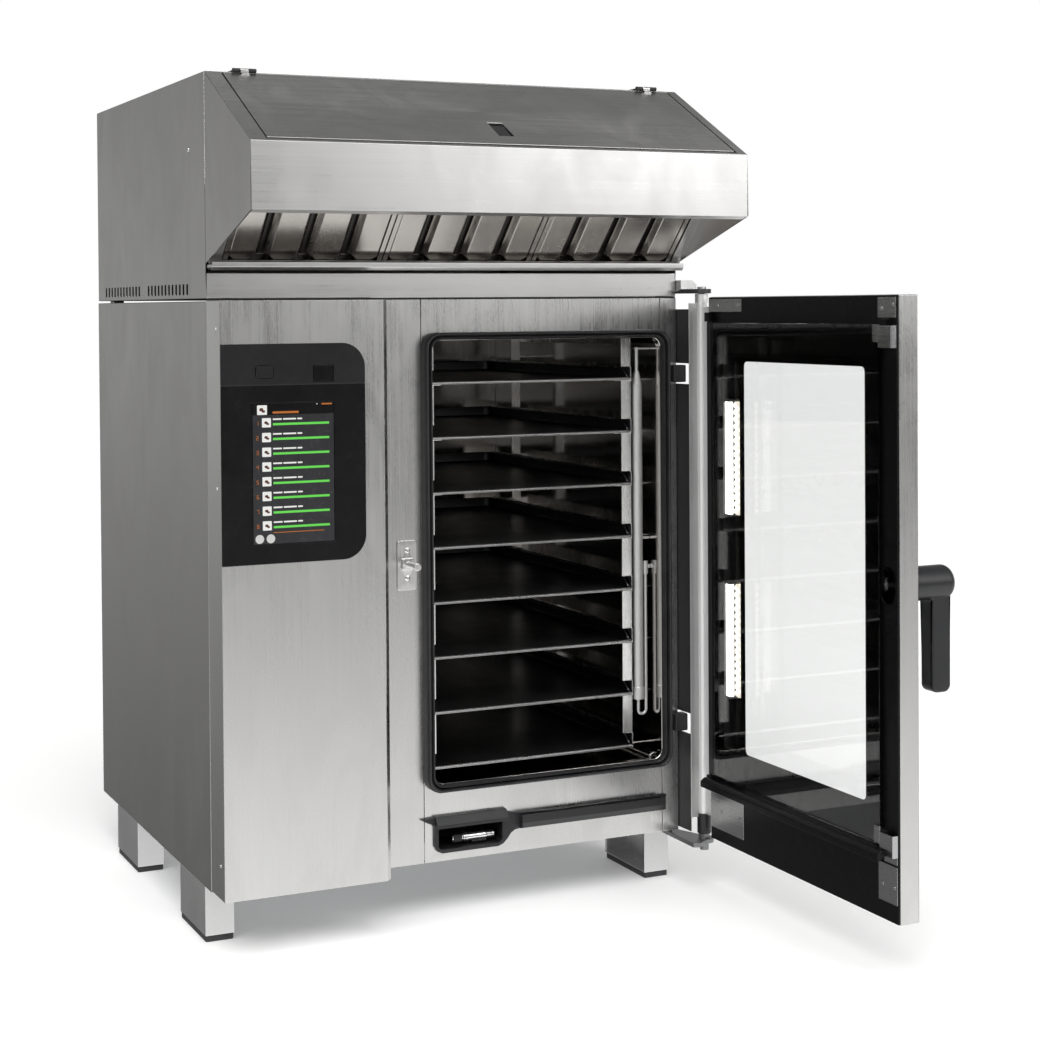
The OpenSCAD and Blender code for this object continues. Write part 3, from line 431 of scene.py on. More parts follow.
class Build:
    """Collects closed shapes, in millimetres, into one mesh."""

    def __init__(self):
        self.bm = bmesh.new()
        self.mi = 0

    def loft(self, rings, closed=False, caps=True, wrap=True):
        bm = self.bm
        vs = [[bm.verts.new(V(*p)) for p in r] for r in rings]
        n = len(vs[0])
        m = len(vs)
        made = []
        for i in range(m if closed else m - 1):
            a, b = vs[i], vs[(i + 1) % m]
            for k in range(n if wrap else n - 1):
                k2 = (k + 1) % n
                made.append(bm.faces.new((a[k], a[k2], b[k2], b[k])))
        if caps and not closed:
            made.append(bm.faces.new(list(reversed(vs[0]))))
            made.append(bm.faces.new(vs[-1]))
        for f in made:
            f.material_index = self.mi
        return made

    def prism(self, poly, axis, a, b):
        def at(t):
            if axis == "x":
                return [(t, p, q) for p, q in poly]
            if axis == "y":
                return [(p, t, q) for p, q in poly]
            return [(p, q, t) for p, q in poly]
        return self.loft([at(a), at(b)])

    def box(self, x0, x1, y0, y1, z0, z1):
        return self.prism([(x0, y0), (x1, y0), (x1, y1), (x0, y1)], "z", z0, z1)

    def lathe(self, prof, origin, axis="z", n=48, closed=False, star=None):
        """prof: (radius, distance along the axis) from one end to the other."""
        ox, oy, oz = origin
        rings = []
        for i, (r, t) in enumerate(prof):
            ring = []
            for k in range(n):
                th = 2 * math.pi * k / n
                rr = r * (star(i, th) if star else 1.0)
                c, s = rr * math.cos(th), rr * math.sin(th)
                if axis == "z":
                    ring.append((ox + c, oy + s, oz + t))
                elif axis == "x":
                    ring.append((ox + t, oy + c, oz + s))
                else:
                    ring.append((ox + c, oy + t, oz - s))
            rings.append(ring)
        return self.loft(rings, closed=closed)

    def tube(self, pts, r, n=12, caps=True):
        pts = [Vector(p) for p in pts]
        rings = []
        t0 = (pts[1] - pts[0]).normalized()
        up = Vector((0, 0, 1)) if abs(t0.z) < 0.9 else Vector((1, 0, 0))
        side = t0.cross(up).normalized()
        for i, p in enumerate(pts):
            a = pts[max(0, i - 1)]
            b = pts[min(len(pts) - 1, i + 1)]
            t = (b - a).normalized()
            side = (side - side.dot(t) * t).normalized()
            v = t.cross(side)
            rr = r(i) if callable(r) else r
            rings.append([tuple(p + rr * (math.cos(2 * math.pi * k / n) * side + math.sin(2 * math.pi * k / n) * v)) for k in range(n)])
        return self.loft(rings, caps=caps)

    def done(self, name, mats, body, big=0.0, seg=2, share=0.28, replaces=(), angle=0.6, sharp=0.5, clean=True, subsurf=0, post=None):
        bm = self.bm
        if clean:
            bmesh.ops.remove_doubles(bm, verts=bm.verts, dist=1e-7)
        bmesh.ops.recalc_face_normals(bm, faces=bm.faces)
        mark_sharp(bm, angle)
        if big > 0:
            weigh(bm, big / 1000.0, share, sharp)
            lay = bm.edges.layers.float.get("bevel_weight_edge")
            for e in bm.edges:
                if e[lay] > 0:
                    e.smooth = True
        me = bpy.data.meshes.new(name)
        bm.to_mesh(me)
        bm.free()
        ob = bpy.data.objects.new(name, me)
        bpy.context.scene.collection.objects.link(ob)
        for m in (mats if isinstance(mats, (list, tuple)) else [mats]):
            me.materials.append(m)
        if post:
            post(ob)
        if subsurf:
            s = ob.modifiers.new("smooth", "SUBSURF")
            s.levels = s.render_levels = subsurf
        add_mods(ob, big / 1000.0, seg)
        if replaces:
            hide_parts(*replaces)
        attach(ob, body)
        return ob


def rrect(a0, a1, b0, b1, r, n=8):
    """Rounded rectangle, anticlockwise. r: one radius, or four (low-low, high-low, high-high, low-high)."""
    rs = [r] * 4 if not isinstance(r, (list, tuple)) else list(r)
    out = []
    for (cx, cy, rr, start) in ((a0, b0, rs[0], 180), (a1, b0, rs[1], 270), (a1, b1, rs[2], 0), (a0, b1, rs[3], 90)):
        if rr <= 0:
            out.append((cx, cy))
            continue
        sx = 1 if cx == a0 else -1
        sy = 1 if cy == b0 else -1
        ox, oy = cx + sx * rr, cy + sy * rr
        for k in range(n + 1):
            t = math.radians(start + 90.0 * k / n)
            out.append((ox + rr * math.cos(t), oy + rr * math.sin(t)))
    return out


def fillet(pts, r, n=5):
    """Open polyline with its corners rounded. r: one radius or one per inner corner."""
    out = [pts[0]]
    for i in range(1, len(pts) - 1):
        rr = r[i - 1] if isinstance(r, (list, tuple)) else r
        p, a, b = Vector(pts[i]), Vector(pts[i - 1]), Vector(pts[i + 1])
        u, v = (a - p).normalized(), (b - p).normalized()
        ang = u.angle(v)
        if rr <= 0 or ang > math.pi - 0.02:
            out.append(tuple(p))
            continue
        d = rr / math.tan(ang / 2)
        c = p + (u + v).normalized() * (rr / math.sin(ang / 2))
        s, e = p + u * d - c, p + v * d - c
        tot = s.angle(e)
        for k in range(n + 1):
            t = k / n
            q = (math.sin((1 - t) * tot) * s + math.sin(t * tot) * e) / math.sin(tot)
            out.append(tuple(c + q))
    out.append(pts[-1])
    return out


def offset(pts, d):
    """Open polyline moved d to its left, mitred."""
    out = []
    n = len(pts)
    for i in range(n):
        p = Vector(pts[i])
        ns = []
        if i > 0:
            t = (p - Vector(pts[i - 1])).normalized()
            ns.append(Vector((-t.y, t.x)))
        if i < n - 1:
            t = (Vector(pts[i + 1]) - p).normalized()
            ns.append(Vector((-t.y, t.x)))
        m = sum(ns, Vector((0, 0)))
        m.normalize()
        out.append(tuple(p + m * (d / max(0.2, m.dot(ns[0])))))
    return out


def folded(pts, t, r, n=5):
    """Outline of a folded sheet: the given line is its outer face, t > 0 thickens to the left. r is the outer radius of outward folds."""
    inner = offset(pts, t)
    ro, ri = [], []
    for i in range(1, len(pts) - 1):
        a = Vector(pts[i]) - Vector(pts[i - 1])
        b = Vector(pts[i + 1]) - Vector(pts[i])
        turn = a.x * b.y - a.y * b.x
        convex = (turn > 0) == (t > 0)
        ro.append(r if convex else max(0.3, r - abs(t)))
        ri.append(max(0.3, r - abs(t)) if convex else r)
    return fillet(pts, ro, n) + list(reversed(fillet(inner, ri, n)))


def round_poly(poly, r, n=4):
    """Closed outline with its corners rounded."""
    m = len(poly)
    out = []
    for i in range(m):
        a, p, c = Vector(poly[i - 1]), Vector(poly[i]), Vector(poly[(i + 1) % m])
        rr = r[i] if isinstance(r, (list, tuple)) else r
        u, v = a - p, c - p
        ang = u.angle(v)
        d = min(rr / math.tan(ang / 2), u.length * 0.45, v.length * 0.45)
        if d < 0.02:
            out.append(tuple(p))
            continue
        rr = d * math.tan(ang / 2)
        u.normalize()
        v.normalize()
        c0 = p + (u + v).normalized() * (rr / math.sin(ang / 2))
        s0, e0 = p + u * d - c0, p + v * d - c0
        tot = s0.angle(e0)
        for k in range(n + 1):
            t = k / n
            q = (math.sin((1 - t) * tot) * s0 + math.sin(t * tot) * e0) / math.sin(tot)
            out.append(tuple(c0 + q))
    return out


def plate(b, outer, holes, axis, t0, t1):
    """Flat sheet with holes, square to one axis. Outlines are (x, y), (x, z) or (y, z)."""
    def at(p, t):
        if axis == "x":
            return V(t, p[0], p[1])
        if axis == "y":
            return V(p[0], t, p[1])
        return V(p[0], p[1], t)
    tmp = bmesh.new()
    for loop in [outer] + holes:
        vs = [tmp.verts.new((q[0], q[1], 0)) for q in loop]
        for i in range(len(vs)):
            tmp.edges.new((vs[i], vs[(i + 1) % len(vs)]))
    bmesh.ops.triangle_fill(tmp, use_beauty=True, edges=tmp.edges[:])
    tmp.verts.index_update()
    pts = [(v.co.x, v.co.y) for v in tmp.verts]
    lo = [b.bm.verts.new(at(q, t0)) for q in pts]
    hi = [b.bm.verts.new(at(q, t1)) for q in pts]
    for f in tmp.faces:
        ids = [v.index for v in f.verts]
        for vs in ([lo[i] for i in ids], [hi[i] for i in reversed(ids)]):
            nf = b.bm.faces.new(vs)
            nf.material_index = b.mi
    for e in tmp.edges:
        if len(e.link_faces) == 1:
            i, j = e.verts[0].index, e.verts[1].index
            nf = b.bm.faces.new((lo[i], lo[j], hi[j], hi[i]))
            nf.material_index = b.mi
    tmp.free()


def bar(b, x0, x1, y0, y1, z0, z1, r=0.6, axis="z", n=3):
    """Block with rounded edges along one axis and a small break at its ends."""
    a = {"z": (x0, x1, y0, y1, z0, z1), "y": (x0, x1, z0, z1, y0, y1), "x": (y0, y1, z0, z1, x0, x1)}[axis]
    rr = min(r, (a[1] - a[0]) * 0.45, (a[3] - a[2]) * 0.45)
    e = min(rr * 0.5, (a[5] - a[4]) * 0.2)
    rings = []
    for t, d in ((a[4], e), (a[4] + e, 0), (a[5] - e, 0), (a[5], e)):
        o = rrect(a[0] + d, a[1] - d, a[2] + d, a[3] - d, max(0.05, rr - d * 0.5), n)
        rings.append([{"z": (p, q, t), "y": (p, t, q), "x": (t, p, q)}[axis] for p, q in o])
    b.loft(rings)


def screw(b, x, y, z, axis, sign, r=4.2, h=1.4):
    """Pan-head screw with a six-lobed recess. sign: which way the head looks along the axis."""
    prof = [(r, 0.0), (r, h * 0.35), (r * 0.94, h * 0.7), (r * 0.78, h * 0.92), (r * 0.60, h), (r * 0.46, h), (r * 0.44, h * 0.95), (r * 0.42, h * 0.25), (r * 0.05, h * 0.2)]
    prof = [(a, t * sign) for a, t in prof]
    b.lathe(prof, (x, y, z), axis, 36, star=lambda i, th: 1.0 + (0.16 * math.cos(6 * th) if 5 <= i <= 7 else 0.0))


# --------------------------------------------------------------------------
# carried-over nodes with broken edges
# --------------------------------------------------------------------------
refined("base_frame", M["galv"], 1.0)
refined("appliance_feet", M["matt"], 1.5)
refined("foot_pads", M["pad"], 1.5)
# side panels take the darker copy of the casing steel: painted shade
refined("left_side_panel", M["side"], 1.8, 3)
refined("right_side_panel", M["side"], 1.8, 3)
refined("rear_panel", M["galv"], 0.8)
refined("front_frame", M["front"], 0.8)
refined("control_cover", M["front"], 1.2, 3)
ob = refined("control_bezel", M["black_gloss"], 0.9, 3)
paint(ob, M["bezel_top"], lambda x, y, z, n: z > 919.9)
refined("touch_screen", M["screen"], 0.5)
refined("electronics_box", M["galv"], 0.8)
refined("power_button", M["bezel_top"], 0.8, 3)
refined("usb_flap", M["black_gloss"], 0.5)
refined("cavity_liner", M["polish"], 1.2, 2)
refined("strike_plate", M["bright"], 0.8)
refined("suction_panel", M["polish"], 0.8)
refined("fan_motor", M["motor"], 1.0)
refined("fan_wheel", M["fan"], 0.5)
refined("left_rack", M["rack"], 0.8)
refined("right_rack", M["rack"], 0.8)
refined("core_probe", M["matt"], 0.8)
refined("shower_recess", M["black"], 0.8, 2)
refined("bumper_blocks", M["rubber"], 1.5)
ob = refined("hinge_brackets", M["cast"], 0.8, 3)
paint(ob, M["cast_dark"], lambda x, y, z, n: 1000 < z < 1072.6)
paint(ob, M["matt"], lambda x, y, z, n: z > 1071.9 and y < 88 and x < 909)
refined("cavity_pipes", M["fan"], 0.6)
refined("water_inlets", M["brass"], 0.6)
ob = refined("hinge_profile", M["matt"], 0.8)
# faces round the pivot column and the front faces take the near-white copy: painted highlight
paint(ob, M["profile"], lambda x, y, z, n: (x - 905) ** 2 + (y - 34) ** 2 < 10.7 ** 2 or y < 28)
ob = refined("door_shell", M["front"], 1.6, 3)
paint(ob, M["black_dark"], lambda x, y, z, n: 901 < x < 933 and -494.5 < y < -43.5 and 203.5 < z < 1012.5)
refined("door_inner_frame", M["frame"], 1.0)
refined("latch_case", M["frame"], 0.6)
refined("pane_hinge_bar", M["black"], 0.6)
refined("door_handle", M["black_soft"], 4.0, 5)
refined("latch_hook", M["cast"], 0.6)
# hood sides in the darker copy of the steel (painted shade), its front faces in the front steel
ob = refined("hood_body", M["hood_side"], 1.6, 3)
paint(ob, M["front_x"], lambda x, y, z, n: n.y < -0.7 and y < 80)
ob = refined("hood_canopy", M["front_x"], 0.9, 2)
# canopy side faces in the darker copy of the casing steel: painted shade
paint(ob, M["hood_side"], lambda x, y, z, n: abs(n.x) > 0.9)
# canopy's upper slope faces in the slightly darker slope copy of the steel: painted shade
paint(ob, M["slope"], lambda x, y, z, n: n.z > 0.7 and z > 1290)
# hood flap in the same darker slope copy: painted shade
refined("hood_flap", M["slope"], 1.0)
refined("flap_hinges", M["black_dark"], 0.0)
refined("flap_latch", M["black_dark"], 0.6)
refined("hood_gutter", M["front_x"], 0.8)
refined("hood_blower", M["galv"], 0.8)
refined("hood_impeller", M["fan"], 0.4)
NODES["heating_element"].data.materials.clear()
NODES["heating_element"].data.materials.append(M["heater"])
NODES["cavity_insulation"].data.materials.clear()
NODES["cavity_insulation"].data.materials.append(M["wool"])

# --------------------------------------------------------------------------
# pieces made one by one
# --------------------------------------------------------------------------
def flat(ob):
    for p in ob.data.polygons:
        p.use_smooth = False


def pane(node, y0, y1, z0, z1, x0, x1, body, c=0.6, holes=()):
    b = Build()
    rings = []
    for x, d in ((x0, c), (x0 + c, 0), (x1 - c, 0), (x1, c)):
        rings.append([(x, p, q) for p, q in rrect(y0 + d, y1 - d, z0 + d, z1 - d, 3.0 - d, 5)])
    b.loft(rings)
    ob = b.done(node + "_v", M["glass"], body, replaces=(node,))
    ob.modifiers.clear()
    flat(ob)
    return ob


pane("inner_glass", -512, -22, 212, 1012, 889.5, 893.5, "inner_pane")
pane("outer_glass", -549.7, -4.3, 96.3, 1055.2, 931, 935, "door")

# black print behind both panes; the inner one has one slit for both lamps
b = Build()
slits = [rrect(-112.5, -58, 268, 946, 3, 4)]
plate(b, rrect(-511.4, -26, 212.6, 1011.4, 2.6, 4), [rrect(-474, -127, 270, 946, 9, 8)] + slits, "x", 893.7, 894.0)
b.done("inner_print", M["print"], "inner_pane")
b = Build()
plate(b, rrect(-491.2, -46.8, 207, 1009.2, 2.6, 4), [rrect(-478, -60, 232, 966, 9, 8)], "x", 930.2, 930.6)
plate(b, rrect(-549.2, -4.8, 96.8, 1054.7, 2.6, 4), [rrect(-492.6, -45.4, 205.4, 1010.6, 2, 4), [(-505 + 8.4 * math.cos(t * math.pi / 12), 608 + 8.4 * math.sin(t * math.pi / 12)) for t in range(24)]], "x", 930.75, 930.95)
b.done("outer_print", M["print"], "door")

# lamps: base, frosted cover with end caps, half-round ribs beside it on a plain strip
b = Build()
for z in (352, 672):
    prof = [(904.6, -61.2), (904.1, -58.6), (904, -54.5), (904.1, -50.4), (904.6, -47.8), (906.2, -46.9), (911.6, -46.8), (911.6, -62.2), (906.2, -62.1)]
    prof = round_poly(prof, 1.2, 3)
    b.loft([[(p, q, t) for p, q in prof] for t in (z + 5, z + 201)])
b.done("lamp_covers", M["lamp"], "door", replaces=("door_lights",))
b = Build()
for z in (352, 672):
    bar(b, 911.8, 921.9, -62, -46.6, z + 1, z + 205, 1.5, "z")
    for z0 in (z, z + 201.2):
        bar(b, 903.9, 911.7, -62.4, -46.6, z0, z0 + 4.8, 2.2, "z")
b.done("lamp_bases", M["grey_plastic"], "door")
b = Build()
for z in (352, 672):
    rings = []
    for k in range(16 * 12 + 1):
        t = (k % 12) / 12.0
        h = math.sqrt(max(0.0, 1.0 - ((t - 0.5) / 0.38) ** 2)) if abs(t - 0.5) < 0.38 else 0.0
        zz = z + 4 + 198.0 * k / 192
        rings.append([(915.6 - 3.4 * h, -63.4, zz), (915.2 - 4.2 * h, -66.0, zz), (915.2 - 4.2 * h, -77.0, zz), (915.6 - 3.4 * h, -79.6, zz), (917.2, -79.6, zz), (917.2, -63.4, zz)])
    b.loft(rings)
b.done("lamp_ribs", M["rib"], "door", angle=1.2)
b = Build()
bar(b, 917.0, 918.2, -80.4, -62.6, 263, 951, 0.5, "z")
b.done("lamp_reflectors", M["reflector"], "door", angle=1.2)
b = Build()
bar(b, 918.4, 924, -60, -46.4, 262, 958, 1.5, "z")
b.done("light_channel", M["black_dark"], "door")

# metal corner plates of the door's inner side, and its clips
b = Build()
for y0, y1, z0, z1 in ((-112, -5, 1031, 1053.5), (-547.5, -502, 1022, 1053.5), (-112, -5, 117, 189), (-547.5, -500, 124, 183), (-547.5, -515, 186, 212), (-547.5, -515, 979, 995)):
    bar(b, 895.9, 896.95, y0, y1, z0, z1, 1.0, "x")
for y, z in ((-100, 150), (-40, 150), (-100, 1042), (-36, 1042), (-540, 150), (-510, 150), (-540, 1042), (-512, 1036)):
    screw(b, 895.9, y, z, "x", -1, 3.4, 1.1)
b.done("door_corner_plates", M["corner"], "door", big=0.3)
b = Build()
for z in (224, 1002):
    prof = folded([(896.8, -547), (888.2, -547), (888.2, -514.2), (895.0, -514.2)], 1.2, 2.0)
    b.loft([[(p, q, t) for p, q in prof] for t in (z - 26, z + 8)])
b.done("door_clips", M["corner"], "door", big=0.25)
b = Build()
for z in (212.4, 984.4):
    bar(b, 888.5, 889.4, -512, -498, z, z + 27, 0.8, "x")
    bar(b, 889.4, 894.6, -513.2, -512.1, z, z + 27, 0.3, "x")
b.done("pane_clips", M["corner"], "inner_pane")

# dark joint between the two halves of the control panel
b = Build()
bar(b, 0.8, 244.2, -1.75, -0.35, 919.1, 920.9, 0.3, "x")
b.done("bezel_joint", M["black_dark"], "cabinet")

# black lip behind the hinge profile, open at the bumpers
b = Build()
for z0, z1 in ((99, 274), (311, 902), (939, 1036)):
    prof = round_poly([(878.2, 35.4), (879.9, 35.4), (879.4, 56), (877.9, 80.0), (876.8, 83.4), (876.0, 80.0), (877.0, 56)], 0.5, 3)
    b.loft([[(p, q, t) for p, q in prof] for t in (z0, z0 + 0.6, z1 - 0.6, z1)])
b.done("hinge_lip", M["rubber"], "door")
b = Build()
rings = []
for k in range(40):
    a = 2 * math.pi * k / 40
    rings.append([(905 + q * math.cos(a), 34 + q * math.sin(a), z) for q, z in ((10.48, 94.3), (12.2, 94.4), (12.6, 95.0), (12.6, 129.4), (12.2, 130.0), (10.48, 130.1))])
b.loft(rings, closed=True)
b.done("hinge_bush", M["black_soft"], "door")

# strip that closes the joint between the casing and the hood; its black rubber stands in for the shadow in that gap
# (painted shade)
b = Build()
bar(b, 5, 870, 76.4, 79.6, 1051, 1066, 0.6, "x")
b.done("hood_joint_shade_strip", M["rubber"], "cabinet", angle=1.0)

# gasket round the mouth
b = Build()
prof = [(0.0, 74.0), (0.0, 58.5), (0.03, 55.2), (0.10, 52.2), (0.20, 50.5), (0.31, 50.1), (0.41, 51.4), (0.47, 54.0), (0.50, 58.0), (0.54, 60.2), (0.60, 60.6), (0.66, 58.6),
        (0.70, 55.6), (0.77, 53.6), (0.86, 53.2), (0.94, 54.8), (0.985, 58.0), (1.0, 61.5), (1.0, 74.0)]
rings = []
for t, y in prof:
    o = rrect(375 + 14.7 * t, 852.5 - 14.7 * t, 215.5 + 11.7 * t, 1000 - 11.7 * t, 26 - 6.7 * t, 10)
    rings.append([(p, y, q) for p, q in o])
b.loft(rings, closed=True)
b.done("gasket_v", M["rubber"], "cabinet", replaces=("cavity_gasket",), angle=1.0)


# baffle filters
def F(x, s, t):
    return (x, 62 + 0.70710678 * (s + t), 1118 + 0.70710678 * (t - s))


def baffle(b, xa, xb, t_lip, t_face, s_top, s_end, cut, th=0.9, flip=False):
    """Trapezoid baffle: a flat face with its sides folded in; its lower end is cut back at both corners."""
    m = 8.0
    rings = []
    for s, c in ((s_top, 0.0), (s_end - cut, 0.0), (s_end, cut)):
        a, e = xa + c, xb - c
        line = [(a, t_lip), (a + m, t_face), (e - m, t_face), (e, t_lip)]
        sec = folded(line, th if not flip else -th, 3.0, 4)
        rings.append([F(x, s, t) for x, t in sec])
    b.loft(rings)


for i in range(3):
    x0 = 23.5 + 277 * i
    b = Build()
    for xa, xb in ((x0, x0 + 1.2), (x0 + 273.8, x0 + 275)):
        b.loft([[F(xa, s, 0), F(xb, s, 0), F(xb, s, 20), F(xa, s, 20)] for s in (-240, 0)])
    for xa, xb in ((x0 + 0.8, x0 + 8), (x0 + 267, x0 + 274.2)):
        b.loft([[F(xa, s, 0), F(xb, s, 0), F(xb, s, 0.9), F(xa, s, 0.9)] for s in (-239.5, -0.5)])
        b.loft([[F(xa, s, 19.1), F(xb, s, 19.1), F(xb, s, 20), F(xa, s, 20)] for s in (-239.5, -0.5)])
    for s0, s1 in ((-240, -238.8), (-1.2, 0)):
        b.loft([[F(x, s0, 0), F(x, s1, 0), F(x, s1, 20), F(x, s0, 20)] for x in (x0 + 1, x0 + 274)])
    b.loft([[F(x, -239.5, 0), F(x, -228, 0), F(x, -228, 0.9), F(x, -239.5, 0.9)] for x in (x0 + 1, x0 + 274)])
    b.loft([[F(x, -239.5, 19.1), F(x, -225, 19.1), F(x, -225, 20), F(x, -239.5, 20)] for x in (x0 + 1, x0 + 274)])
    b.loft([[F(x, -14, 19.1), F(x, -0.5, 19.1), F(x, -0.5, 20), F(x, -14, 20)] for x in (x0 + 1, x0 + 274)])
    b.mi = 0
    for xa, xb in ((1.6, 60), (70, 132.5), (142.5, 205), (215, 273.4)):
        baffle(b, x0 + xa, x0 + xb, 10.5, 0.6, -232, -5, 9.0)
    # rear baffles and side strips in the near-black copy of the filter steel: painted shade
    b.mi = 1
    for k in range(3):
        xs = x0 + 65 + 72.5 * k
        baffle(b, xs - 22, xs + 22, 11.5, 18.6, -236, -3, 0.0, flip=True)
    for xs in (x0 + 2, x0 + 257):
        b.loft([[F(xs, s, 17.4), F(xs + 16, s, 17.4), F(xs + 16, s, 18.3), F(xs, s, 18.3)] for s in (-236, -3)])
    b.mi = 0
    b.done(f"grease_filter_{i + 1}_v", [M["filter"], M["filter_back_painted_shade"]], f"filter_{i + 1}", big=0.3, replaces=(f"grease_filter_{i + 1}",))

# trays: pressed sheet, three walls with a rolled edge, a folded lip in front
TZ = [250 + 94.7 * k for k in range(8)]
for i, z in enumerate(TZ):
    b = Build()
    path = []
    for y in (108, 112, 117, 122, 126, 132, 300, 500):
        path.append(((395, y), (1, 0)))
    for (cx, cy, a0) in ((413, 684, 180), (777, 684, 90)):
        for k in range(9):
            a = math.radians(a0 - 90.0 * k / 8)
            path.append(((cx + 18 * math.cos(a), cy + 18 * math.sin(a)), (-math.cos(a), -math.sin(a))))
    for y in (500, 300, 132, 126, 122, 117, 112, 108):
        path.append(((795, y), (-1, 0)))
    prof = [(9, -3), (4.5, -3), (2.2, -2.6), (0.6, -1.4), (0.05, 0.6), (0.0, 8), (0.0, 16.4), (0.35, 17.4), (1.2, 17.95), (2.3, 17.9), (3.1, 17.2), (3.2, 16.3), (2.5, 15.7), (1.7, 15.6),
            (1.5, 14.8), (1.5, 8), (1.55, 1.4), (2.1, 0), (3.4, -1.1), (5.2, -1.5), (9, -1.5)]
    rings = []
    for (px_, py_), (nx, ny) in path:
        h = 1.0 if py_ >= 126 else (2.6 + 15.4 * (py_ - 108) / 18.0) / 18.0
        rings.append([(px_ + nx * d, py_ + ny * d, z + (q * h if q > 0 else q)) for d, q in prof])
    b.loft(rings)
    base = rrect(403, 787, 101.8, 694, [0, 0, 10, 10], 6)
    b.prism(base, "z", z - 2.98, z - 1.52)
    b.mi = 1
    lip = round_poly([(106, z - 3), (106, z - 1.5), (102.6, z - 1.5), (100.9, z + 1.5), (98, z + 1.5), (96, z - 0.5), (96, z - 3.5), (97.4, z - 3.5), (97.4, z - 1.0), (98.6, z + 0.1), (100.2, z + 0.1), (101.8, z - 3)],
                     [0, 0, 1.2, 0.9, 1.2, 1.2, 0.3, 0.3, 0.6, 0.4, 0.4, 0.6], 4)
    b.loft([[(t, p, q) for p, q in lip] for t in (397, 397.8, 792.2, 793)])
    b.done(f"tray_{i + 1}_v", [M["tray"], M["tray_edge"]], f"tray_{i + 1}", replaces=(f"tray_{i + 1}",), angle=0.9)

# hand shower
b = Build()
prof = [(0.5, 0), (6.4, 0), (7.6, 0.8), (8.0, 2), (8.0, 19.5), (8.4, 20.6), (9.4, 21.4), (9.5, 24), (10.3, 24.6), (10.3, 27.2), (9.5, 27.8), (9.3, 34), (8.9, 44), (8.9, 52), (9.4, 60), (9.5, 64.5), (8.8, 66),
        (7.7, 66.6), (7.7, 68), (8.0, 68.6), (8.0, 70), (7.7, 70.6), (7.7, 72), (8.0, 72.6), (8.0, 74), (7.7, 74.6), (7.7, 79.2), (7.0, 80), (0.5, 80)]
b.lathe([(r_, t) for r_, t in prof], (432, 92, 126), "x", 40)
b.done("hand_shower_v", M["chrome"], "shower", replaces=("hand_shower",), angle=0.5)
b = Build()
bar(b, 468, 496, 82.2, 88, 116.6, 121, 1.6, "x")
bar(b, 433, 452, 83, 101, 117.2, 134.8, 5.0, "x")
b.lathe([(5.8, 0), (5.8, 26)], (474, 92, 126), "y", 28)
b.done("hand_shower_grip", M["black_soft"], "shower")

# screws with their recesses
b = Build()
for z in (584, 631):
    screw(b, 347, 71.35, z, "y", -1, 4.6, 2.0)
screw(b, 0.0, 168, 1306, "x", -1, 4.2, 1.25)
screw(b, 875.0, 168, 1306, "x", 1, 4.2, 1.25)
for z in (150, 755, 1010):
    screw(b, 0.0, 22, z, "x", -1, 3.4, 0.95)
for z in (1052, 1080):
    screw(b, 879.45, 104, z, "x", 1, 4.2, 2.0)
for x in (20, 437.5, 855):
    for z in (108, 1040):
        screw(b, x, 812.75, z, "y", 1, 4.0, 1.9)
b.done("panel_screws_v", M["chrome"], "cabinet", replaces=("panel_screws",), angle=0.5)

# picture on the display: plain squares, bars, numbers and two keys
SEG = {1: "bc", 2: "abged", 3: "abgcd", 4: "fgbc", 5: "afgcd", 6: "afgedc", 7: "abc", 8: "abcdefg"}


def digit(b, n, x, z, w, h, y0, y1):
    t = 0.75
    box = {"a": (x, x + w, z + h - t, z + h), "d": (x, x + w, z, z + t), "g": (x, x + w, z + h / 2 - t / 2, z + h / 2 + t / 2),
           "f": (x, x + t, z + h / 2, z + h), "b": (x + w - t, x + w, z + h / 2, z + h), "e": (x, x + t, z, z + h / 2), "c": (x + w - t, x + w, z, z + h / 2)}
    for k in SEG[n]:
        xa, xb, za, zb = box[k]
        b.box(xa, xb, y0, y1, za, zb)


def tile(b, x0, x1, z0, z1, r, y0=-2.06, y1=-1.94):
    b.loft([[(p, y, q) for p, q in rrect(x0, x1, z0, z1, r, 4)] for y in (y1, y0)])


b = Build()
tile(b, 52.4, 189.6, 665.4, 872.2, 0.4, -1.94, -1.9)
b.done("display_page", M["ui_page"], "cabinet")
b = Build()
tile(b, 60, 76.6, 872.6, 888, 1.2)
tile(b, 160.4, 162, 887, 888.8, 0.6)
for k in range(8):
    z = 867.3 - 23.6 * k
    tile(b, 68, 83, z - 14.9, z, 1.2)
    xx = 86.3
    for w in (15, 22, 8):
        tile(b, xx, xx + w, z - 3.4, z - 0.9, 0.5)
        xx += w + 2.2
b.done("display_white", M["ui_white"], "cabinet")
b = Build()
for x in (62.7, 81.3):
    b.lathe([(0.3, -1.94), (7.0, -1.94), (7.2, -2.0), (7.0, -2.06), (0.3, -2.06)], (x, 0, 673.6), "y", 32)
b.done("display_keys", M["ui_key"], "cabinet")
b = Build()
for k in range(8):
    z = 867.3 - 23.6 * k
    tile(b, 86.3, 181.9, z - 12.0, z - 8.4, 0.6)
b.done("display_bars", M["ui_green"], "cabinet")
b = Build()
tile(b, 86, 130, 874.2, 877.6, 0.5)
tile(b, 169, 187, 886.6, 889, 0.5)
tile(b, 86, 172, 682.6, 683.8, 0.3)
for k in range(8):
    digit(b, k + 1, 58.4, 867.3 - 23.6 * k - 11.5, 3.6, 6.6, -2.04, -1.94)
b.done("display_orange", M["ui_orange"], "cabinet")
b = Build()
for k in range(8):
    z = 867.3 - 23.6 * k
    tile(b, 71.9, 77.6, z - 9.4, z - 5.2, 1.9, -2.1, -2.05)
    tile(b, 75.0, 80.0, z - 11.0, z - 8.0, 1.4, -2.14, -2.09)
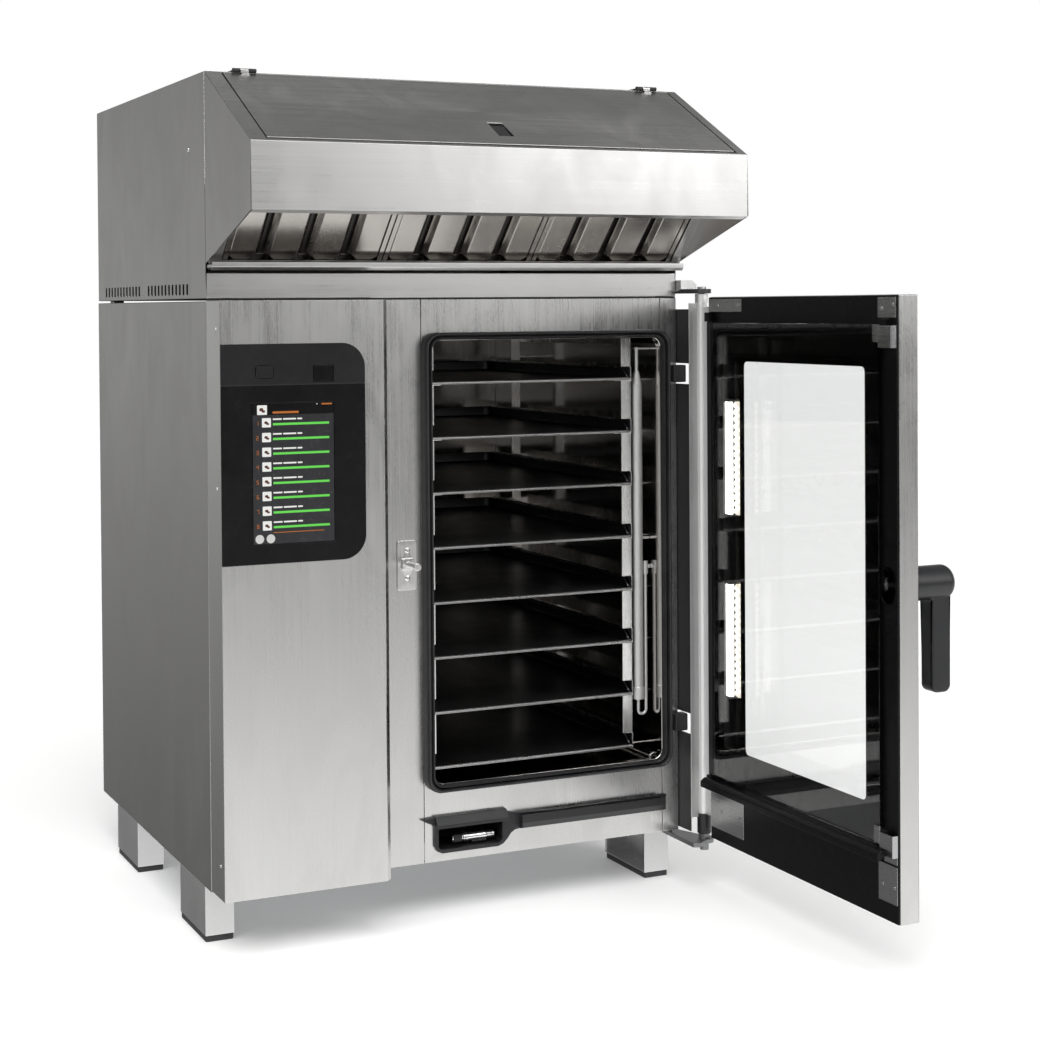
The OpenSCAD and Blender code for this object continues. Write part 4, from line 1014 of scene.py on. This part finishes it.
tile(b, 63.8, 70.4, 878.4, 883.6, 2.3, -2.1, -2.05)
tile(b, 67.6, 73.4, 876.2, 880.0, 1.7, -2.14, -2.09)
b.done("display_glyphs", M["ui_dark"], "cabinet")

# --------------------------------------------------------------------------
# floor, light, camera
# --------------------------------------------------------------------------
fm = Mat("floor").set(color=(0.90, 0.90, 0.895), rough=0.6, spec=0.3, emit=(1.0, 1.0, 0.99), power=0.14)
fm.to("Roughness", fm.span(fm.noise(fm.coords((3.0, 3.0, 3.0)), 1.0, 4.0, 0.6), 0.3, 0.7, 0.55, 0.68))
me = bpy.data.meshes.new("floor")
bm = bmesh.new()
bmesh.ops.create_circle(bm, cap_ends=True, segments=96, radius=14.0)
bm.to_mesh(me)
bm.free()
floor = bpy.data.objects.new("floor", me)
bpy.context.scene.collection.objects.link(floor)
me.materials.append(fm.m)
floor.visible_glossy = False

world = bpy.data.worlds.new("studio")
bpy.context.scene.world = world
world.use_nodes = True
nt = world.node_tree
nt.nodes.clear()
wo = nt.nodes.new("ShaderNodeOutputWorld")
bg = nt.nodes.new("ShaderNodeBackground")
tc = nt.nodes.new("ShaderNodeTexCoord")
sep = nt.nodes.new("ShaderNodeSeparateXYZ")


def zramp(stops):
    """Brightness of the studio against height: stops are (z of the direction, grey)."""
    n = nt.nodes.new("ShaderNodeValToRGB")
    els = n.color_ramp.elements
    for i, (z, g) in enumerate(stops):
        pos = (z + 0.5) / 1.5
        e = els[0] if i == 0 else (els[len(els) - 1] if i == len(stops) - 1 else els.new(pos))
        e.position = pos
        e.color = (g, g, g, 1.0)
    nt.links.new(zr.outputs[0], n.inputs[0])
    return n.outputs[0]


def smooth(sock, lo, hi):
    n = nt.nodes.new("ShaderNodeMapRange")
    n.interpolation_type = "SMOOTHSTEP"
    for i, v in enumerate((lo, hi, 0.0, 1.0)):
        n.inputs[1 + i].default_value = v
    nt.links.new(sock, n.inputs[0])
    return n.outputs[0]


def blend(fac, a, c):
    n = nt.nodes.new("ShaderNodeMix")
    n.data_type = "RGBA"
    nt.links.new(fac, n.inputs[0])
    nt.links.new(a, n.inputs[6])
    nt.links.new(c, n.inputs[7])
    return n.outputs[2]


nt.links.new(tc.outputs["Generated"], sep.inputs[0])
zr = nt.nodes.new("ShaderNodeMapRange")
for i, v in enumerate((-0.5, 1.0, 0.0, 1.0)):
    zr.inputs[1 + i].default_value = v
nt.links.new(sep.outputs[2], zr.inputs[0])
left = zramp([(-0.5, 0.14), (-0.27, 0.18), (-0.13, 0.32), (0.0, 0.56), (0.05, 0.50), (0.16, 0.36), (0.34, 0.16), (0.60, 0.08), (1.0, 0.30)])
back = zramp([(-0.5, 1.0), (-0.1, 1.0), (0.20, 1.0), (0.36, 0.42), (0.60, 0.20), (1.0, 0.30)])
front = zramp([(-0.5, 1.45), (-0.27, 1.38), (-0.14, 0.56), (-0.04, 0.06), (0.02, 0.08), (0.09, 0.42), (0.16, 0.52), (0.34, 0.30), (0.60, 0.17), (1.0, 0.30)])
fx = smooth(sep.outputs[0], -0.14, 0.13)
fy = smooth(sep.outputs[1], -0.35, 0.20)
nt.links.new(blend(fy, front, blend(fx, left, back)), bg.inputs[0])
bg.inputs[1].default_value = 1.0
nt.links.new(bg.outputs[0], wo.inputs[0])


def area(name, loc, target, size, power, col=(1, 1, 1)):
    ld = bpy.data.lights.new(name, "AREA")
    ld.shape = "RECTANGLE"
    ld.size, ld.size_y = size
    ld.energy = power
    ld.color = col
    lo = bpy.data.objects.new(name, ld)
    lo.location = loc
    lo.rotation_euler = (Vector(target) - Vector(loc)).to_track_quat("-Z", "Y").to_euler()
    bpy.context.scene.collection.objects.link(lo)
    return lo


area("key", (1.6, -3.2, 3.2), (0.0, -0.2, 0.7), (1.8, 1.4), 34)
area("fill", (-3.2, -2.4, 2.0), (0.0, 0.0, 0.7), (1.6, 1.6), 8)
area("strip", (2.25, -3.5, 1.9), (0.3, -0.5, 1.2), (2.3, 1.3), 21)
sd = bpy.data.lights.new("overhead", "SUN")
sd.energy = 2.9
sd.angle = math.radians(55.0)
so = bpy.data.objects.new("overhead", sd)
so.location = (-1.5, -2.5, 4.5)
so.rotation_euler = (Vector((0.25, 0.43, -0.87))).to_track_quat("-Z", "Y").to_euler()
bpy.context.scene.collection.objects.link(so)

cam = bpy.data.cameras.new("camera")
co = bpy.data.objects.new("camera", cam)
bpy.context.scene.collection.objects.link(co)
yaw, pitch, roll = 0.4259548356758469, -0.017956457789060715, -0.007061244613921819
d = Vector((math.sin(yaw) * math.cos(pitch), math.cos(yaw) * math.cos(pitch), math.sin(pitch)))
r = d.cross(Vector((0, 0, 1))).normalized()
u = r.cross(d)
cr, sr = math.cos(roll), math.sin(roll)
X = cr * r + sr * u
Y = -sr * r + cr * u
co.matrix_world = Matrix(((X.x, Y.x, -d.x, 0), (X.y, Y.y, -d.y, 0), (X.z, Y.z, -d.z, 0), (0, 0, 0, 1)))
co.location = V(-895.2881399250413, -2959.204759173426, 1042.873575482622)
cam.sensor_fit = "HORIZONTAL"
cam.sensor_width = 36.0
cam.lens = 1936.4915813430753 / 1040.0 * 36.0
cam.shift_x = (520.0 - 477.1261618808293) / 1040.0
cam.shift_y = (341.6072013967837 - 520.0) / 1040.0
cam.clip_start = 0.05
cam.clip_end = 60.0
bpy.context.scene.camera = co
bpy.context.scene.view_settings.view_transform = "Standard"

bpy.context.view_layer.update()
